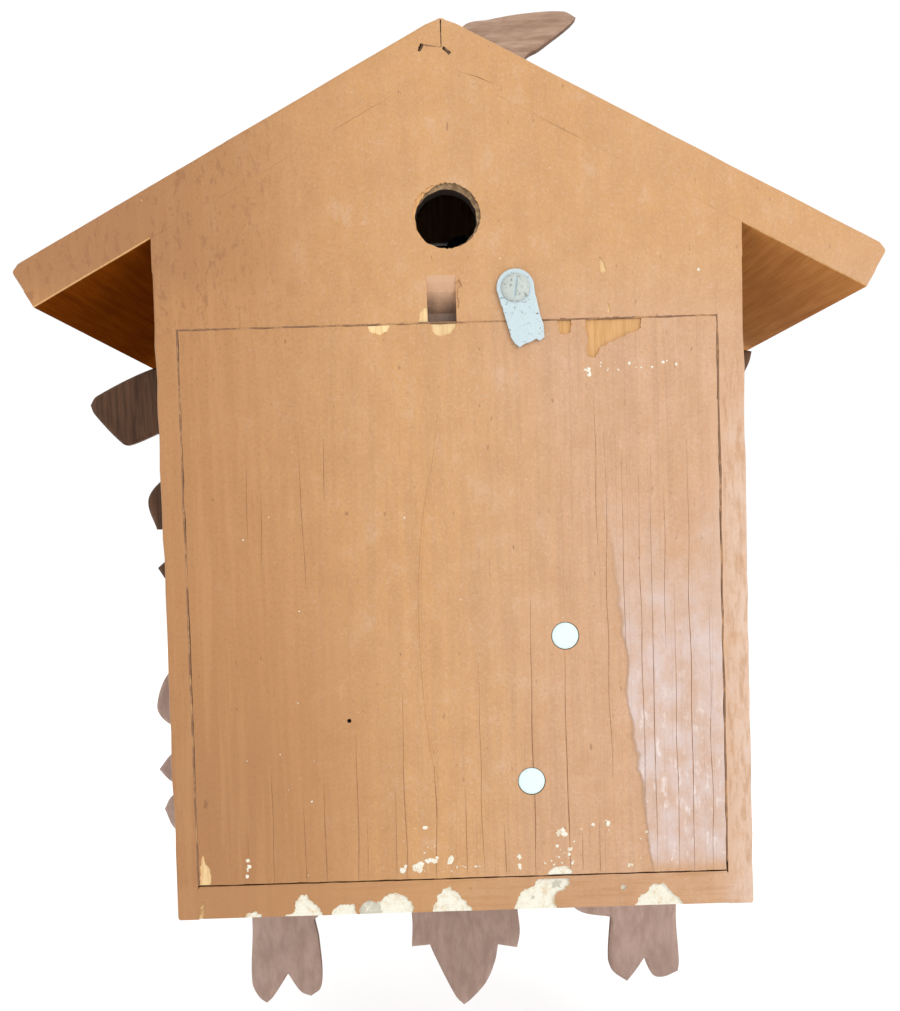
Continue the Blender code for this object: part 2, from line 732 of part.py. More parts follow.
def build_dial():
    near = CARVING_DEEP
    disc = turned(
        "dial",
        [(DIAL_RADIUS, near, near + 3.0), (DIAL_RADIUS - 2.0, near + 3.0, near + 4.2)],
        (*CENTRE, 0.0),
        24,
    )
    hole = turned("dial_hole", [(HAND_HOLE_RADIUS, 90.0, 110.0)], (*CENTRE, 0.0), 16)
    finish(cut(disc, hole), "dial_wood")


def hand_outline(length, hub, loop_at, loop_radius):
    """A hand that points up: a tail, a hub, a stem, an open loop and an arrow tip."""
    half = [
        (0.9, hub),
        (0.9, loop_at - loop_radius),
        (loop_radius, loop_at),
        (1.1, loop_at + loop_radius),
        (2.0, length - 5.5),
        (0.0, length),
    ]
    right = [(math.sin(a) * hub, math.cos(a) * hub) for a in (0.6, 1.2, 1.9, 2.5, math.pi)]
    mirrored = [(-x, y) for x, y in reversed(half[:-1])]
    left = [(-x, y) for x, y in reversed(right[:-1])]
    return half[::-1] + right + left + mirrored[::-1]


def build_hands():
    hour = hand_outline(18.0, 4.0, 9.5, 2.6)
    outlines = [moved(run, CENTRE) for run in (hour, ring(2.06, 12), ring(1.2, 6, (0.0, 9.5)))]
    finish(plate("hour_hand", outlines, 102.1, 103.1, CENTRE), "hand_plastic")
    minute = hand_outline(26.0, 3.2, 15.5, 2.3)
    outlines = [moved(run, CENTRE) for run in (minute, ring(1.0, 10), ring(1.1, 6, (0.0, 15.5)))]
    finish(plate("minute_hand", outlines, 104.9, 105.9, CENTRE), "hand_plastic")
    nut = turned("hand_nut", [(0.8, 102.8, 106.2), (2.3, 106.2, 107.8)], (*CENTRE, 0.0), 12)
    finish(nut, "brass")


# ---------------------------------------------------------------- cuckoo


def build_cuckoo():
    across, deep = CUCKOO_DOOR_AXIS
    outline = rectangle((-12.1, deep - 1.5), (12.1, deep + 1.5))
    bore = ring(0.62, 10, CUCKOO_DOOR_AXIS)
    low, high = OPENING_UP[0] + 0.4, OPENING_UP[1] - 0.4
    door = lying_plate("cuckoo_door", [outline, bore], low, high, CUCKOO_DOOR_AXIS)
    finish(door, "carved_wood")
    hinge = turned(
        "cuckoo_door_hinge",
        [(0.45, -17.0, 17.0)],
        (across, sum(OPENING_UP) / 2, deep),
        8,
        (math.radians(90.0), 0.0, 0.0),
    )
    finish(hinge, "steel")

    heading = direction(BIRD_POST, BIRD_REST)
    hub = [
        (BIRD_POST[0] + 2.8 * math.cos(heading + a), BIRD_POST[1] + 2.8 * math.sin(heading + a))
        for a in (0.6, 1.3, 2.0, 2.7, 3.4, 4.1, 4.8, 5.6)
    ]
    end = [
        (BIRD_REST[0] + 2.4 * math.cos(heading + a), BIRD_REST[1] + 2.4 * math.sin(heading + a))
        for a in (-1.2, -0.4, 0.4, 1.2)
    ]
    hole = ring(1.0, 10, BIRD_POST)
    arm = lying_plate("bird_arm", [hub + end, hole], *ARM_UP, BIRD_POST)
    finish(arm, "inner_wood")

    # The bird faces the way it will look when the arm has swung out.
    facing = math.radians(90.0) + 2.0 * (math.pi - abs(heading))
    ahead = Vector((math.cos(facing), 0.0, math.sin(facing)))
    centre = Vector((BIRD_REST[0], BIRD_CENTRE_UP, BIRD_REST[1]))
    bird = ellipsoid("cuckoo_bird", (11.5, 5.8, 5.6), centre, facing)
    head_at = centre + ahead * 8.0 + Vector((0.0, 5.6, 0.0))
    head = ellipsoid("bird_head", (4.8, 4.4, 4.6), head_at, facing)
    beak = cone_ahead("bird_beak", 1.5, 5.0, head_at + ahead * 5.8, facing)
    tail = box("bird_tail", (-8.0, -1.0, -3.0), (8.0, 1.0, 3.0))
    tail.location = millimetres(*(centre - ahead * 13.0 + Vector((0.0, 0.6, 0.0))))
    tail.rotation_euler = (0.0, -facing, 0.0)
    perch = turned(
        "bird_perch",
        [(1.3, -8.1, 0.0)],
        (BIRD_REST[0], ARM_UP[1] + GAP, BIRD_REST[1]),
        8,
        (math.radians(90.0), 0.0, 0.0),
    )
    finish(join(bird, head, beak, tail, perch), "bird_paint", True)


def ellipsoid(name, radii, at, facing):
    """An ellipsoid of (ahead, up, aside) radii whose long axis points along facing."""
    work = bmesh.new()
    bmesh.ops.create_uvsphere(work, u_segments=12, v_segments=7, radius=MM)
    bmesh.ops.scale(work, vec=Vector((radii[2], radii[1], radii[0])), verts=work.verts)
    mesh = bpy.data.meshes.new(name)
    work.to_mesh(mesh)
    work.free()
    return place(bpy.data.objects.new(name, mesh), at, (0.0, math.radians(90.0) - facing, 0.0))


def cone_ahead(name, radius, length, at, facing):
    work = bmesh.new()
    bmesh.ops.create_cone(
        work, cap_ends=True, segments=8, radius1=radius * MM, radius2=0.2 * MM, depth=length * MM
    )
    mesh = bpy.data.meshes.new(name)
    work.to_mesh(mesh)
    work.free()
    return place(bpy.data.objects.new(name, mesh), at, (0.0, math.radians(90.0) - facing, 0.0))


# ---------------------------------------------------------------- movement


def build_plates():
    outline = rectangle((-PLATE_HALF_WIDTH, PLATE_UP[0]), (PLATE_HALF_WIDTH, PLATE_UP[1]))
    small = [THIRD, ESCAPE, ANCHOR, PIN, WARNING, FLY, HAMMER]
    for name, deep in (
        ("movement_back_plate", BACK_PLATE_DEEP),
        ("movement_front_plate", FRONT_PLATE_DEEP),
    ):
        runs = [outline]
        runs += [ring(PIVOT_HOLE_RADIUS, 8, centre) for centre in small]
        runs.append(ring(GREAT_PIVOT_HOLE_RADIUS, 10, TIME_GREAT))
        runs.append(ring(GREAT_PIVOT_HOLE_RADIUS, 10, STRIKE_GREAT, 0.2))
        runs += [ring(1.35, 8, at, 0.1 * number) for number, at in enumerate(PILLARS)]
        centre_hole = PIVOT_HOLE_RADIUS if deep is BACK_PLATE_DEEP else 1.2
        runs.append(ring(centre_hole, 10, CENTRE))
        sheet = plate(name, runs, *deep)
        if deep is FRONT_PLATE_DEEP:
            # Riveted into this plate: the minute wheel's stud, and the post that the cuckoo's arm turns on.
            stud = turned(
                "minute_wheel_stud", [(1.6, 74.0, 76.1), (0.95, 76.1, 84.5)], (*MINUTE, 0.0), 10
            )
            post = turned(
                "bird_post",
                [(0.9, -29.0, 4.0)],
                (BIRD_POST[0], PLATE_UP[1], BIRD_POST[1]),
                10,
                (math.radians(90.0), 0.0, 0.0),
            )
            join(sheet, stud, post)
        finish(sheet, "brass")
    for number, at in enumerate(PILLARS, 1):
        stations = [
            (1.2, 40.6, SHOULDER_REAR),
            (2.4, SHOULDER_REAR, SHOULDER_FRONT),
            (1.2, SHOULDER_FRONT, 75.1),
            (2.4, 75.1, SIDE_DEPTH),
        ]
        finish(turned("plate_pillar_%d" % number, stations, (*at, 0.0), 8), "steel", True)


def arbor(name, centre, middle):
    """An arbor with small pivots in both plates round the stations in the middle."""
    rear = [(PIVOT_RADIUS, PIVOT_REAR, SHOULDER_REAR + 0.3)]
    front = [(PIVOT_RADIUS, SHOULDER_FRONT, PIVOT_FRONT)]
    return turned(name + "_arbor", rear + middle + front, (*centre, 0.0), 8)


def great_wheel(name, centre, near, rear_end):
    """A great wheel with its chain sprocket, whose groove is as wide as the chain."""
    toward = direction(centre, CENTRE if name.startswith("time") else PIN)
    wheel = wheel_plate(name, centre, 48, 0.75, toward, near, near + 1.2, 3.4)
    stations = [
        (GREAT_PIVOT_RADIUS, rear_end, SHOULDER_REAR + 0.3),
        (2.2, SHOULDER_REAR + 0.3, 46.5),
        (6.5, 46.5, 47.5),
        (5.0, 47.5, 53.0),
        (6.5, 53.0, 54.0),
        (2.2, 54.0, 71.5),
        (GREAT_PIVOT_RADIUS, 71.5, 75.5),
    ]
    finish(join(wheel, turned(name + "_arbor", stations, (*centre, 0.0), 10)), "brass")


def build_time_train():
    great_wheel("time_great_wheel", TIME_GREAT, 68.9, 40.6)

    wheel = wheel_plate(
        "centre_wheel", CENTRE, 60, 0.5, direction(CENTRE, THIRD), 62.4, 63.6, 3.0
    )
    stations = [
        (PIVOT_RADIUS, PIVOT_REAR, SHOULDER_REAR + 0.3),
        (1.3, SHOULDER_REAR + 0.3, 66.3),
        (4.2, 66.3, 67.3),
        (1.5, 67.3, 71.7),
        (4.2, 71.7, 72.7),
        (1.0, 72.7, 102.4),
    ]
    shaft = turned("centre_wheel_arbor", stations, (*CENTRE, 0.0), 10)
    toward = direction(CENTRE, TIME_GREAT)
    trundles = lantern("centre_wheel", CENTRE, 3.0, 8, toward, 66.8, 72.2, 0.45)
    finish(join(wheel, shaft, trundles), "brass")

    wheel = wheel_plate("third_wheel", THIRD, 72, 0.4, direction(THIRD, ESCAPE), 55.4, 56.6, 2.6)
    middle = [(1.0, 43.9, 60.0), (2.3, 60.0, 60.8), (0.6, 60.8, 65.2), (2.3, 65.2, 66.0)]
    shaft = arbor("third_wheel", THIRD, middle + [(1.0, 66.0, 73.2)])
    toward = direction(THIRD, CENTRE)
    trundles = lantern("third_wheel", THIRD, 1.5, 6, toward, 60.4, 65.6, 0.27)
    finish(join(wheel, shaft, trundles), "brass")

    points = []
    for tooth in range(30):
        base = math.tau * tooth / 30
        for share, radius in ((0.0, 9.2), (0.42, 11.0), (0.5, 9.2)):
            angle = base + share * math.tau / 30
            points.append((radius * math.cos(angle), radius * math.sin(angle)))
    runs = [points] + crossings(2.4, 7.8, 3, 1.6, 0.35)
    wheel = plate("escape_wheel", [moved(run, ESCAPE) for run in runs], 48.5, 49.5, ESCAPE)
    middle = [(1.0, 43.9, 52.8), (2.0, 52.8, 53.6), (0.5, 53.6, 58.4), (2.0, 58.4, 59.2)]
    shaft = arbor("escape_wheel", ESCAPE, middle + [(1.0, 59.2, 73.2)])
    toward = direction(ESCAPE, THIRD)
    trundles = lantern("escape_wheel", ESCAPE, 1.2, 6, toward, 53.2, 58.8, 0.23)
    finish(join(wheel, shaft, trundles), "brass")

    # The pallets stand just clear of the escape wheel's tips through the whole swing.
    half = [(2.0, 1.4), (7.6, -3.0), (9.4, -6.6), (8.0, -6.6), (6.0, -3.6), (1.8, -1.4)]
    strip = [(0.0, 2.0)] + half + [(-x, y) for x, y in reversed(half)]
    anchor = plate("anchor", [moved(strip, ANCHOR)], 48.1, 49.9, ANCHOR)
    stations = [
        (PIVOT_RADIUS, 38.0, SHOULDER_REAR + 0.3),
        (1.0, SHOULDER_REAR + 0.3, SHOULDER_FRONT),
        (PIVOT_RADIUS, SHOULDER_FRONT, PIVOT_FRONT),
    ]
    finish(join(anchor, turned("anchor_arbor", stations, (*ANCHOR, 0.0), 8)), "steel")
    up = ANCHOR[1]
    leader = [
        (0.0, up + 1.5, 37.0),
        (0.0, 24.0, 37.0),
        (0.0, 19.0, 36.4),
        (0.0, 16.5, 34.8),
        (0.0, 17.0, 32.8),
        (0.0, 19.5, 32.0),
    ]
    finish(wire("pendulum_leader", leader, 0.6, 1), "steel", True)


def build_strike_train():
    great_wheel("strike_great_wheel", STRIKE_GREAT, 56.4, 37.5)
    slots = []
    blows = 12
    edge = math.tau / (blows * 3)
    for step in range(blows):
        middle = math.tau * step / blows
        for share, radius in ((-0.4, 15.0), (-0.4, 12.6), (0.4, 12.6), (0.4, 15.0), (1.5, 15.2)):
            angle = middle + share * edge
            slots.append((radius * math.cos(angle), radius * math.sin(angle)))
    runs = [slots, ring(GREAT_PIVOT_RADIUS + 0.15, 12)] + crossings(4.0, 10.4, 3, 3.0, 0.35)
    counting = plate(
        "count_wheel", [moved(run, STRIKE_GREAT) for run in runs], 38.6, 39.8, STRIKE_GREAT
    )
    finish(counting, "brass")

    wheel = wheel_plate("pin_wheel", PIN, 48, 0.5, direction(PIN, WARNING), 50.4, 51.6, 2.4)
    middle = [
        (1.0, 43.9, 53.9),
        (4.2, 53.9, 54.9),
        (1.5, 54.9, 59.1),
        (4.2, 59.1, 60.1),
        (1.0, 60.1, 73.2),
    ]
    shaft = arbor("pin_wheel", PIN, middle)
    toward = direction(PIN, STRIKE_GREAT)
    trundles = lantern("pin_wheel", PIN, 3.0, 8, toward, 54.4, 59.6, 0.45)
    lifting = pins("lifting_pins", 0.55, 10.9, 8, 47.6, 51.0, PIN, 0.0)
    finish(join(wheel, shaft, trundles, lifting), "brass")

    wheel = wheel_plate(
        "warning_wheel", WARNING, 42, 0.45, direction(WARNING, FLY), 61.4, 62.6, 2.4
    )
    middle = [(1.0, 43.9, 48.3), (1.9, 48.3, 49.1), (0.6, 49.1, 52.9), (2.3, 52.9, 53.7)]
    shaft = arbor("warning_wheel", WARNING, middle + [(1.0, 53.7, 73.2)])
    toward = direction(WARNING, PIN)
    trundles = lantern("warning_wheel", WARNING, 1.5, 6, toward, 48.7, 53.3, 0.25)
    finish(join(wheel, shaft, trundles), "brass")

    blade = box("fly", (-9.0, -0.3, 65.4), (9.0, 0.3, 72.8), (0.0, 0.0, 0.0))
    blade.location = millimetres(*FLY, 0.0)
    middle = [(1.0, 43.9, 59.2), (2.1, 59.2, 60.0), (0.55, 60.0, 64.0), (2.1, 64.0, 64.8)]
    shaft = arbor("fly", FLY, middle + [(1.0, 64.8, 73.2)])
    toward = direction(FLY, WARNING)
    trundles = lantern("fly", FLY, 1.35, 6, toward, 59.6, 64.4, 0.25)
    finish(join(blade, shaft, trundles), "brass")


def build_motion_works():
    spur = toothed(8, 0.75, direction(CENTRE, MINUTE) + math.pi / 8, 1.2)
    gear = plate("cannon_pinion", [moved(spur, CENTRE)], 76.2, 78.4, CENTRE)
    tube = turned("cannon_tube", [(1.9, 75.4, 104.6)], (*CENTRE, 0.0), 12)
    bore = turned("cannon_bore", [(1.08, 70.0, 110.0)], (*CENTRE, 0.0), 12)
    finish(cut(join(gear, tube), bore), "brass")

    wheel = toothed(24, 0.75, direction(MINUTE, CENTRE), 1.2)
    gear = plate("minute_wheel", [moved(wheel, MINUTE)], 76.7, 77.9, MINUTE)
    small = toothed(6, 0.8, direction(MINUTE, CENTRE) + math.pi / 6, 1.2)
    pinion = plate("minute_wheel_pinion", [moved(small, MINUTE)], 77.4, 82.6, MINUTE)
    bore = turned("minute_wheel_bore", [(1.05, 70.0, 90.0)], (*MINUTE, 0.0), 10)
    finish(cut(join(gear, pinion), bore), "brass")

    wheel = toothed(24, 0.8, direction(CENTRE, MINUTE), 1.2)
    gear = plate("hour_wheel", [moved(wheel, CENTRE)], 80.2, 81.4, CENTRE)
    pipe = turned("hour_pipe", [(3.0, 79.6, 101.8)], (*CENTRE, 0.0), 12)
    bore = turned("hour_bore", [(2.05, 70.0, 110.0)], (*CENTRE, 0.0), 12)
    finish(cut(join(gear, pipe), bore), "brass")


def build_hammer():
    stations = [
        (PIVOT_RADIUS, 38.4, SHOULDER_REAR + 0.3),
        (1.0, SHOULDER_REAR + 0.3, SHOULDER_FRONT),
        (PIVOT_RADIUS, SHOULDER_FRONT, PIVOT_FRONT),
    ]
    shaft = turned("gong_hammer_arbor", stations, (*HAMMER, 0.0), 8)
    x, up = HAMMER
    route = [
        (x, up, 40.0),
        (x, up, 35.0),
        (x + 0.6, up - 4.0, 33.4),
        (x + 4.4, 84.0, 24.0),
        (x + 5.4, 74.0, 17.6),
        (x + 5.4, 66.0, 17.0),
    ]
    stem = curve_to_mesh(wire("gong_hammer", route, 0.7, 1))
    head = turned(
        "hammer_head",
        [(3.4, -4.2, 4.2)],
        (x + 5.4, 66.0, 17.0),
        12,
        (0.0, math.radians(90.0), 0.0),
    )
    tail = box("hammer_tail", (x, up - 1.0, 46.0), (x + 9.0, up + 1.0, 47.2))
    finish(join(stem, shaft, head, tail), "steel", True)


# ---------------------------------------------------------------- whistles and bellows


def spread(sign, low, high):
    return (low, high) if sign > 0 else (-high, -low)


def build_whistles():
    for side, sign in (("left", -1), ("right", 1)):
        near, far = spread(sign, *WHISTLE_ACROSS)
        bottom = WHISTLE_BOTTOMS[side]
        rear, front = WHISTLE_DEEP
        wall = WHISTLE_WALL
        pipe = box("whistle_" + side, (near, bottom, rear), (far, WHISTLE_TOP - 1.0, front))
        top_near, top_far = spread(sign, *BELLOWS_ACROSS)
        top = box(
            "whistle_top_" + side,
            (top_near, WHISTLE_TOP - 2.6, BELLOWS_DEEP[0]),
            (top_far, WHISTLE_TOP, BELLOWS_DEEP[1]),
        )
        hollow = box(
            "whistle_hollow_" + side,
            (near + wall, bottom + wall, rear + wall),
            (far - wall, WHISTLE_MOUTH_UP + 5.0, front - wall),
        )
        mouth_near, mouth_far = spread(sign, WHISTLE_ACROSS[1] - 4.0, WHISTLE_ACROSS[1] + 2.0)
        mouth = box(
            "whistle_mouth_" + side,
            (mouth_near, WHISTLE_MOUTH_UP, rear + wall),
            (mouth_far, WHISTLE_MOUTH_UP + 5.0, front - wall),
        )
        finish(cut(join(pipe, top), hollow, mouth), "inner_wood")

        folds = box(
            "bellows_" + side,
            (top_near, BELLOWS_UP[0], BELLOWS_DEEP[0]),
            (top_far, BELLOWS_UP[1], BELLOWS_DEEP[1]),
        )
        finish(folds, "bellows_cloth")
        lid = box(
            "bellows_lid_" + side,
            (top_near, LID_UP[0], BELLOWS_DEEP[0]),
            (top_far, LID_UP[1], BELLOWS_DEEP[1]),
            (sign * sum(BELLOWS_ACROSS) / 2, LID_UP[0], LID_AXIS_DEEP),
        )
        finish(lid, "inner_wood")
        over = LID_UP[1] + GAP + 0.5
        route = [
            (sign * 47.0, over, 40.0),
            (sign * 40.0, over, 39.0),
            (sign * 39.5, over - 1.0, 38.4),
            (sign * 39.5, 88.0, 38.4),
            (sign * 39.5, 86.4, 39.6),
            (sign * 39.5, 87.4, 41.2),
        ]
        finish(wire("lift_wire_" + side, route, 0.5, 1), "steel", True)


build_case()
build_gable()
build_roof()
build_back_door()
build_gong()
build_latch()
build_carvings()
build_dial()
build_hands()
build_cuckoo()
build_plates()
build_time_train()
build_strike_train()
build_motion_works()
build_hammer()
build_whistles()
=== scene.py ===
"""Looks of a small cuckoo clock seen from behind: painted pine case, carved leaves, bird and movement.

Shapes are given in the clock's own millimetres: ACROSS runs to the right as seen from the front, UP
starts at the bottom of the case, and DEEP starts at the rear plane and grows towards the dial.
"""

import json
import math
import random

import bmesh
import bpy
import numpy
from mathutils import Matrix, Vector, noise
from mathutils.geometry import delaunay_2d_cdt
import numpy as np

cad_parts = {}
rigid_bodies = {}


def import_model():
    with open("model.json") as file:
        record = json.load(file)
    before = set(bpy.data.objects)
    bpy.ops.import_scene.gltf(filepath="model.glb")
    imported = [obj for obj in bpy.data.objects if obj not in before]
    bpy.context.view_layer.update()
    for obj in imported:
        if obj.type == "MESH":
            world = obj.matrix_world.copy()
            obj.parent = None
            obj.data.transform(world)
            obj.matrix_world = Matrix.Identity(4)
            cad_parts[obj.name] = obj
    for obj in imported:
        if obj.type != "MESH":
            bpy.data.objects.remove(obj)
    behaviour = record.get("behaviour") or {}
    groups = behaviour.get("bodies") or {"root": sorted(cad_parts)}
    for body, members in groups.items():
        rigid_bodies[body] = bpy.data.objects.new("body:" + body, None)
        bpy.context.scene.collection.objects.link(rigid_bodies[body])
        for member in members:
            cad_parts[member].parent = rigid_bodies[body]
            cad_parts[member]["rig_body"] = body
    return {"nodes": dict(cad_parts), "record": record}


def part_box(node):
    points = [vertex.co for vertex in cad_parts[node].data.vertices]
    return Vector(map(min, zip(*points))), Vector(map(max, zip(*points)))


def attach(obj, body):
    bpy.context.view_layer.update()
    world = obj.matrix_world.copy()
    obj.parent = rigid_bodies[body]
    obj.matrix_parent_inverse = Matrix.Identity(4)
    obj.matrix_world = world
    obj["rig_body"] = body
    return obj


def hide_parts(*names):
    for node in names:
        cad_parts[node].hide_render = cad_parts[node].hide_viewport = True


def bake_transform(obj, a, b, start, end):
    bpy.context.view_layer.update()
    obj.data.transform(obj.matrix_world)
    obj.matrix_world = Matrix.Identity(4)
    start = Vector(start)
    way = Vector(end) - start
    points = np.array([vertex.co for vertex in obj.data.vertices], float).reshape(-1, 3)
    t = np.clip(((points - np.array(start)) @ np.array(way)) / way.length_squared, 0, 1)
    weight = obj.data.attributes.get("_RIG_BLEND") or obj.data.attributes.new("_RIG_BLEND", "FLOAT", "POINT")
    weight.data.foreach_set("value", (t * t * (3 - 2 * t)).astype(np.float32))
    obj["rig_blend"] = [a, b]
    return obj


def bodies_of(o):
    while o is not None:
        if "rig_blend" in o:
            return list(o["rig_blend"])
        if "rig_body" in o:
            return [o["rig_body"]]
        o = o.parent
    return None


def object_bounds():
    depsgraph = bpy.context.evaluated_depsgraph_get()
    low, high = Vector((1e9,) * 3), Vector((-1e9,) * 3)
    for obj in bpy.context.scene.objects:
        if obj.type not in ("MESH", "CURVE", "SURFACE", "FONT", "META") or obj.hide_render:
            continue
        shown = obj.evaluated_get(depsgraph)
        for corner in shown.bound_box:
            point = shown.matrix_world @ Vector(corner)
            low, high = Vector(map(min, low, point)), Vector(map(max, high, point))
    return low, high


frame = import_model()
CAD_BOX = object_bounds()

MM = 0.001
NODES = frame["nodes"]

# ---------------------------------------------------------------- measures read from the frame


def span(node, axis):
    """Lowest and highest measure of a CAD node, in clock millimetres."""
    low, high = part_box(node)
    if axis == "across":
        return low.x / MM, high.x / MM
    if axis == "up":
        return (low.z - CASE_FLOOR) / MM, (high.z - CASE_FLOOR) / MM
    return -high.y / MM, -low.y / MM


CASE_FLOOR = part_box("base_board")[0].z
# The frame's origin is the middle of the hanging hole, on the rear plane.
HANG_UP = -CASE_FLOOR / MM
# How far each side panel's inner face is from the middle.
INNERS = {-1: -span("side_panel_left", "across")[1], 1: span("side_panel_right", "across")[0]}
OUTER = span("side_panel_right", "across")[1]
SIDE_DEEP = span("side_panel_right", "deep")
BASE_TOP = span("base_board", "up")[1]
FRONT_FAR = span("front_board", "deep")[1]
GABLE_BOTTOM = span("gable_board", "up")[0]
GABLE_DEEP = span("gable_board", "deep")
DOOR_ACROSS = span("back_door", "across")
DOOR_UP = span("back_door", "up")
DOOR_DEEP = span("back_door", "deep")
ROOF_UP = span("roof_board_right", "up")
ROOF_DEEP = span("roof_board_right", "deep")
DIAL_UP = sum(span("dial", "up")) / 2
DIAL_FACE = span("dial", "deep")[1]
CARVING_NEAR = span("bottom_leaf", "deep")[0]
SLOT_OF = {part["node"]: part["material_slot"] for part in frame["record"]["subparts"]}

# Measures of the CAD model that its boxes don't give. The roof falls ROOF_FALL for each millimetre away
# from its ridge, and the bird looks BIRD_TURN round from the clock's right towards the dial.
BIRD_TURN = math.radians(144.1)
BIRD_UP = 160.0
PLEATS = 7
ROOF_FALL = 0.5446
ROOF_UNDER_APEX = 193.1
ROOF_THICK = 10.1
SIDES = (("left", -1), ("right", 1))


def roof_line(across):
    """Height of the roof boards' underside."""
    return ROOF_UNDER_APEX - abs(across) * ROOF_FALL


def place(across, up, deep):
    """World place of a point given in clock millimetres."""
    return Vector((across * MM, -deep * MM, up * MM + CASE_FLOOR))


def clock_spot(point):
    """Clock millimetres (across, up, deep) of a world point."""
    return point.x / MM, (point.z - CASE_FLOOR) / MM, -point.y / MM


# ---------------------------------------------------------------- materials


class Finish:
    """A node material. Its patterns are laid out in clock millimetres, so they move with the piece."""

    def __init__(self, name):
        self.material = bpy.data.materials.new(name)
        self.material.use_nodes = True
        self.tree = self.material.node_tree
        self.shader = self.tree.nodes["Principled BSDF"]
        object_at = self.node("ShaderNodeTexCoord").outputs["Object"]
        scaled = self.vector("MULTIPLY", object_at, (1 / MM, -1 / MM, 1 / MM))
        self.at = self.vector("ADD", scaled, (0.0, 0.0, HANG_UP))
        parts = self.node("ShaderNodeSeparateXYZ", Vector=self.at)
        self.across, self.deep, self.up = (parts.outputs[i] for i in range(3))

    def node(self, kind, settings=(), **inputs):
        made = self.tree.nodes.new(kind)
        for key, value in dict(settings).items():
            setattr(made, key, value)
        for key, value in inputs.items():
            self.feed(made.inputs[key.replace("_", " ")], value)
        return made

    def feed(self, socket, value):
        if isinstance(value, bpy.types.NodeSocket):
            self.tree.links.new(value, socket)
        elif socket.type == "RGBA" and len(value) == 3:
            socket.default_value = (*value, 1.0)
        else:
            socket.default_value = value

    def vector(self, operation, first, second):
        made = self.node("ShaderNodeVectorMath", {"operation": operation})
        self.feed(made.inputs[0], first)
        self.feed(made.inputs[1], second)
        return made.outputs[0]

    def math(self, operation, *values):
        made = self.node("ShaderNodeMath", {"operation": operation})
        for socket, value in zip(made.inputs, values):
            self.feed(socket, value)
        return made.outputs[0]

    def ramp(self, value, low, high):
        """0 below low, 1 above high, smooth between. Low may be above high."""
        settings = {"interpolation_type": "SMOOTHSTEP"}
        made = self.node("ShaderNodeMapRange", settings, Value=value, From_Min=low, From_Max=high)
        return made.outputs[0]

    def noise(self, stretch, size, detail=3.0, rough=0.55, shift=0.0):
        """Noise with features of a size in millimetres, stretched by (across, deep, up)."""
        scaled = self.vector("MULTIPLY", self.at, tuple(1.0 / (size * part) for part in stretch))
        moved = self.vector("ADD", scaled, (shift, shift * 0.7, shift * 1.3))
        made = self.node("ShaderNodeTexNoise", Vector=moved, Scale=1.0, Detail=detail, Roughness=rough)
        return made.outputs["Fac"]

    def mix(self, share, first, second):
        made = self.node("ShaderNodeMix", {"data_type": "RGBA"})
        for index, value in ((0, share), (6, first), (7, second)):
            self.feed(made.inputs[index], value)
        return made.outputs[2]

    def all_of(self, *masks):
        product = masks[0]
        for mask in masks[1:]:
            product = self.math("MULTIPLY", product, mask)
        return product

    def shifted(self, value, mask, reach):
        """A value moved by a mask, such as an axis that is bent to give a wavy edge."""
        return self.math("MULTIPLY_ADD", mask, reach, value)

    def tint(self, colour, *masks):
        """Lays a colour over the tone so far, as strongly as the product of the masks."""
        self.tone = self.mix(self.all_of(*masks), self.tone, colour)

    def lines(self, axis, spacing, width, shift):
        """Thin irregular lines across an axis, 1 on the line."""
        wobble = self.noise((1.0, 1.0, 9.0), 2.5, 2.0, 0.5, shift)
        bent = self.shifted(axis, wobble, 1.1)
        along = self.math("ADD", self.math("DIVIDE", bent, spacing), shift)
        settings = {"voronoi_dimensions": "1D", "feature": "DISTANCE_TO_EDGE"}
        cells = self.node("ShaderNodeTexVoronoi", settings, W=along, Scale=1.0, Randomness=0.85)
        return self.ramp(cells.outputs["Distance"], width / spacing, 0.0)

    def done(self, roughness, height, depth, metallic=0.0, **constants):
        """Joins the tone, the roughness and a height in millimetres to the shader."""
        self.feed(self.shader.inputs["Base Color"], self.tone)
        self.feed(self.shader.inputs["Roughness"], roughness)
        self.shader.inputs["Metallic"].default_value = metallic
        for key, value in constants.items():
            self.shader.inputs[key.replace("_", " ")].default_value = value
        bump = self.node("ShaderNodeBump", Strength=1.0, Distance=depth * MM, Height=height)
        self.feed(self.shader.inputs["Normal"], bump.outputs[0])
        return self.material


PAINT = (0.535, 0.288, 0.120)
PAINT_WARM = (0.530, 0.276, 0.105)
PAINT_PINK = (0.545, 0.318, 0.185)
PAINT_DIRTY = (0.270, 0.155, 0.088)
PAINT_DARK = (0.150, 0.070, 0.032)
PAINT_PALE = (0.640, 0.470, 0.370)
PAINT_DEEP = (0.400, 0.195, 0.078)
# Painted shade for the darker side of the case.
PAINT_SHADED = (0.375, 0.172, 0.060)
PAINT_UMBER = (0.285, 0.125, 0.048)
# Pale varnish with painted reflection, and the painted highlight of its glints.
VARNISH_AND_SHEEN = (0.585, 0.492, 0.485)
VARNISH_GLINT = (0.800, 0.740, 0.720)
STAIN = (0.300, 0.120, 0.030)
STAIN_DARK = (0.130, 0.045, 0.012)
CARVE_CUT_DARK = (0.022, 0.010, 0.006)
STAIN_WORN = (0.260, 0.130, 0.065)
BARE = (0.700, 0.400, 0.180)
CREAM = (0.780, 0.755, 0.640)
EVEN = (1.0, 1.0, 1.0)
UPRIGHT = (1.0, 1.0, 16.0)
LENGTHWISE = (1.0, 22.0, 1.0)
THREADS = 12.0


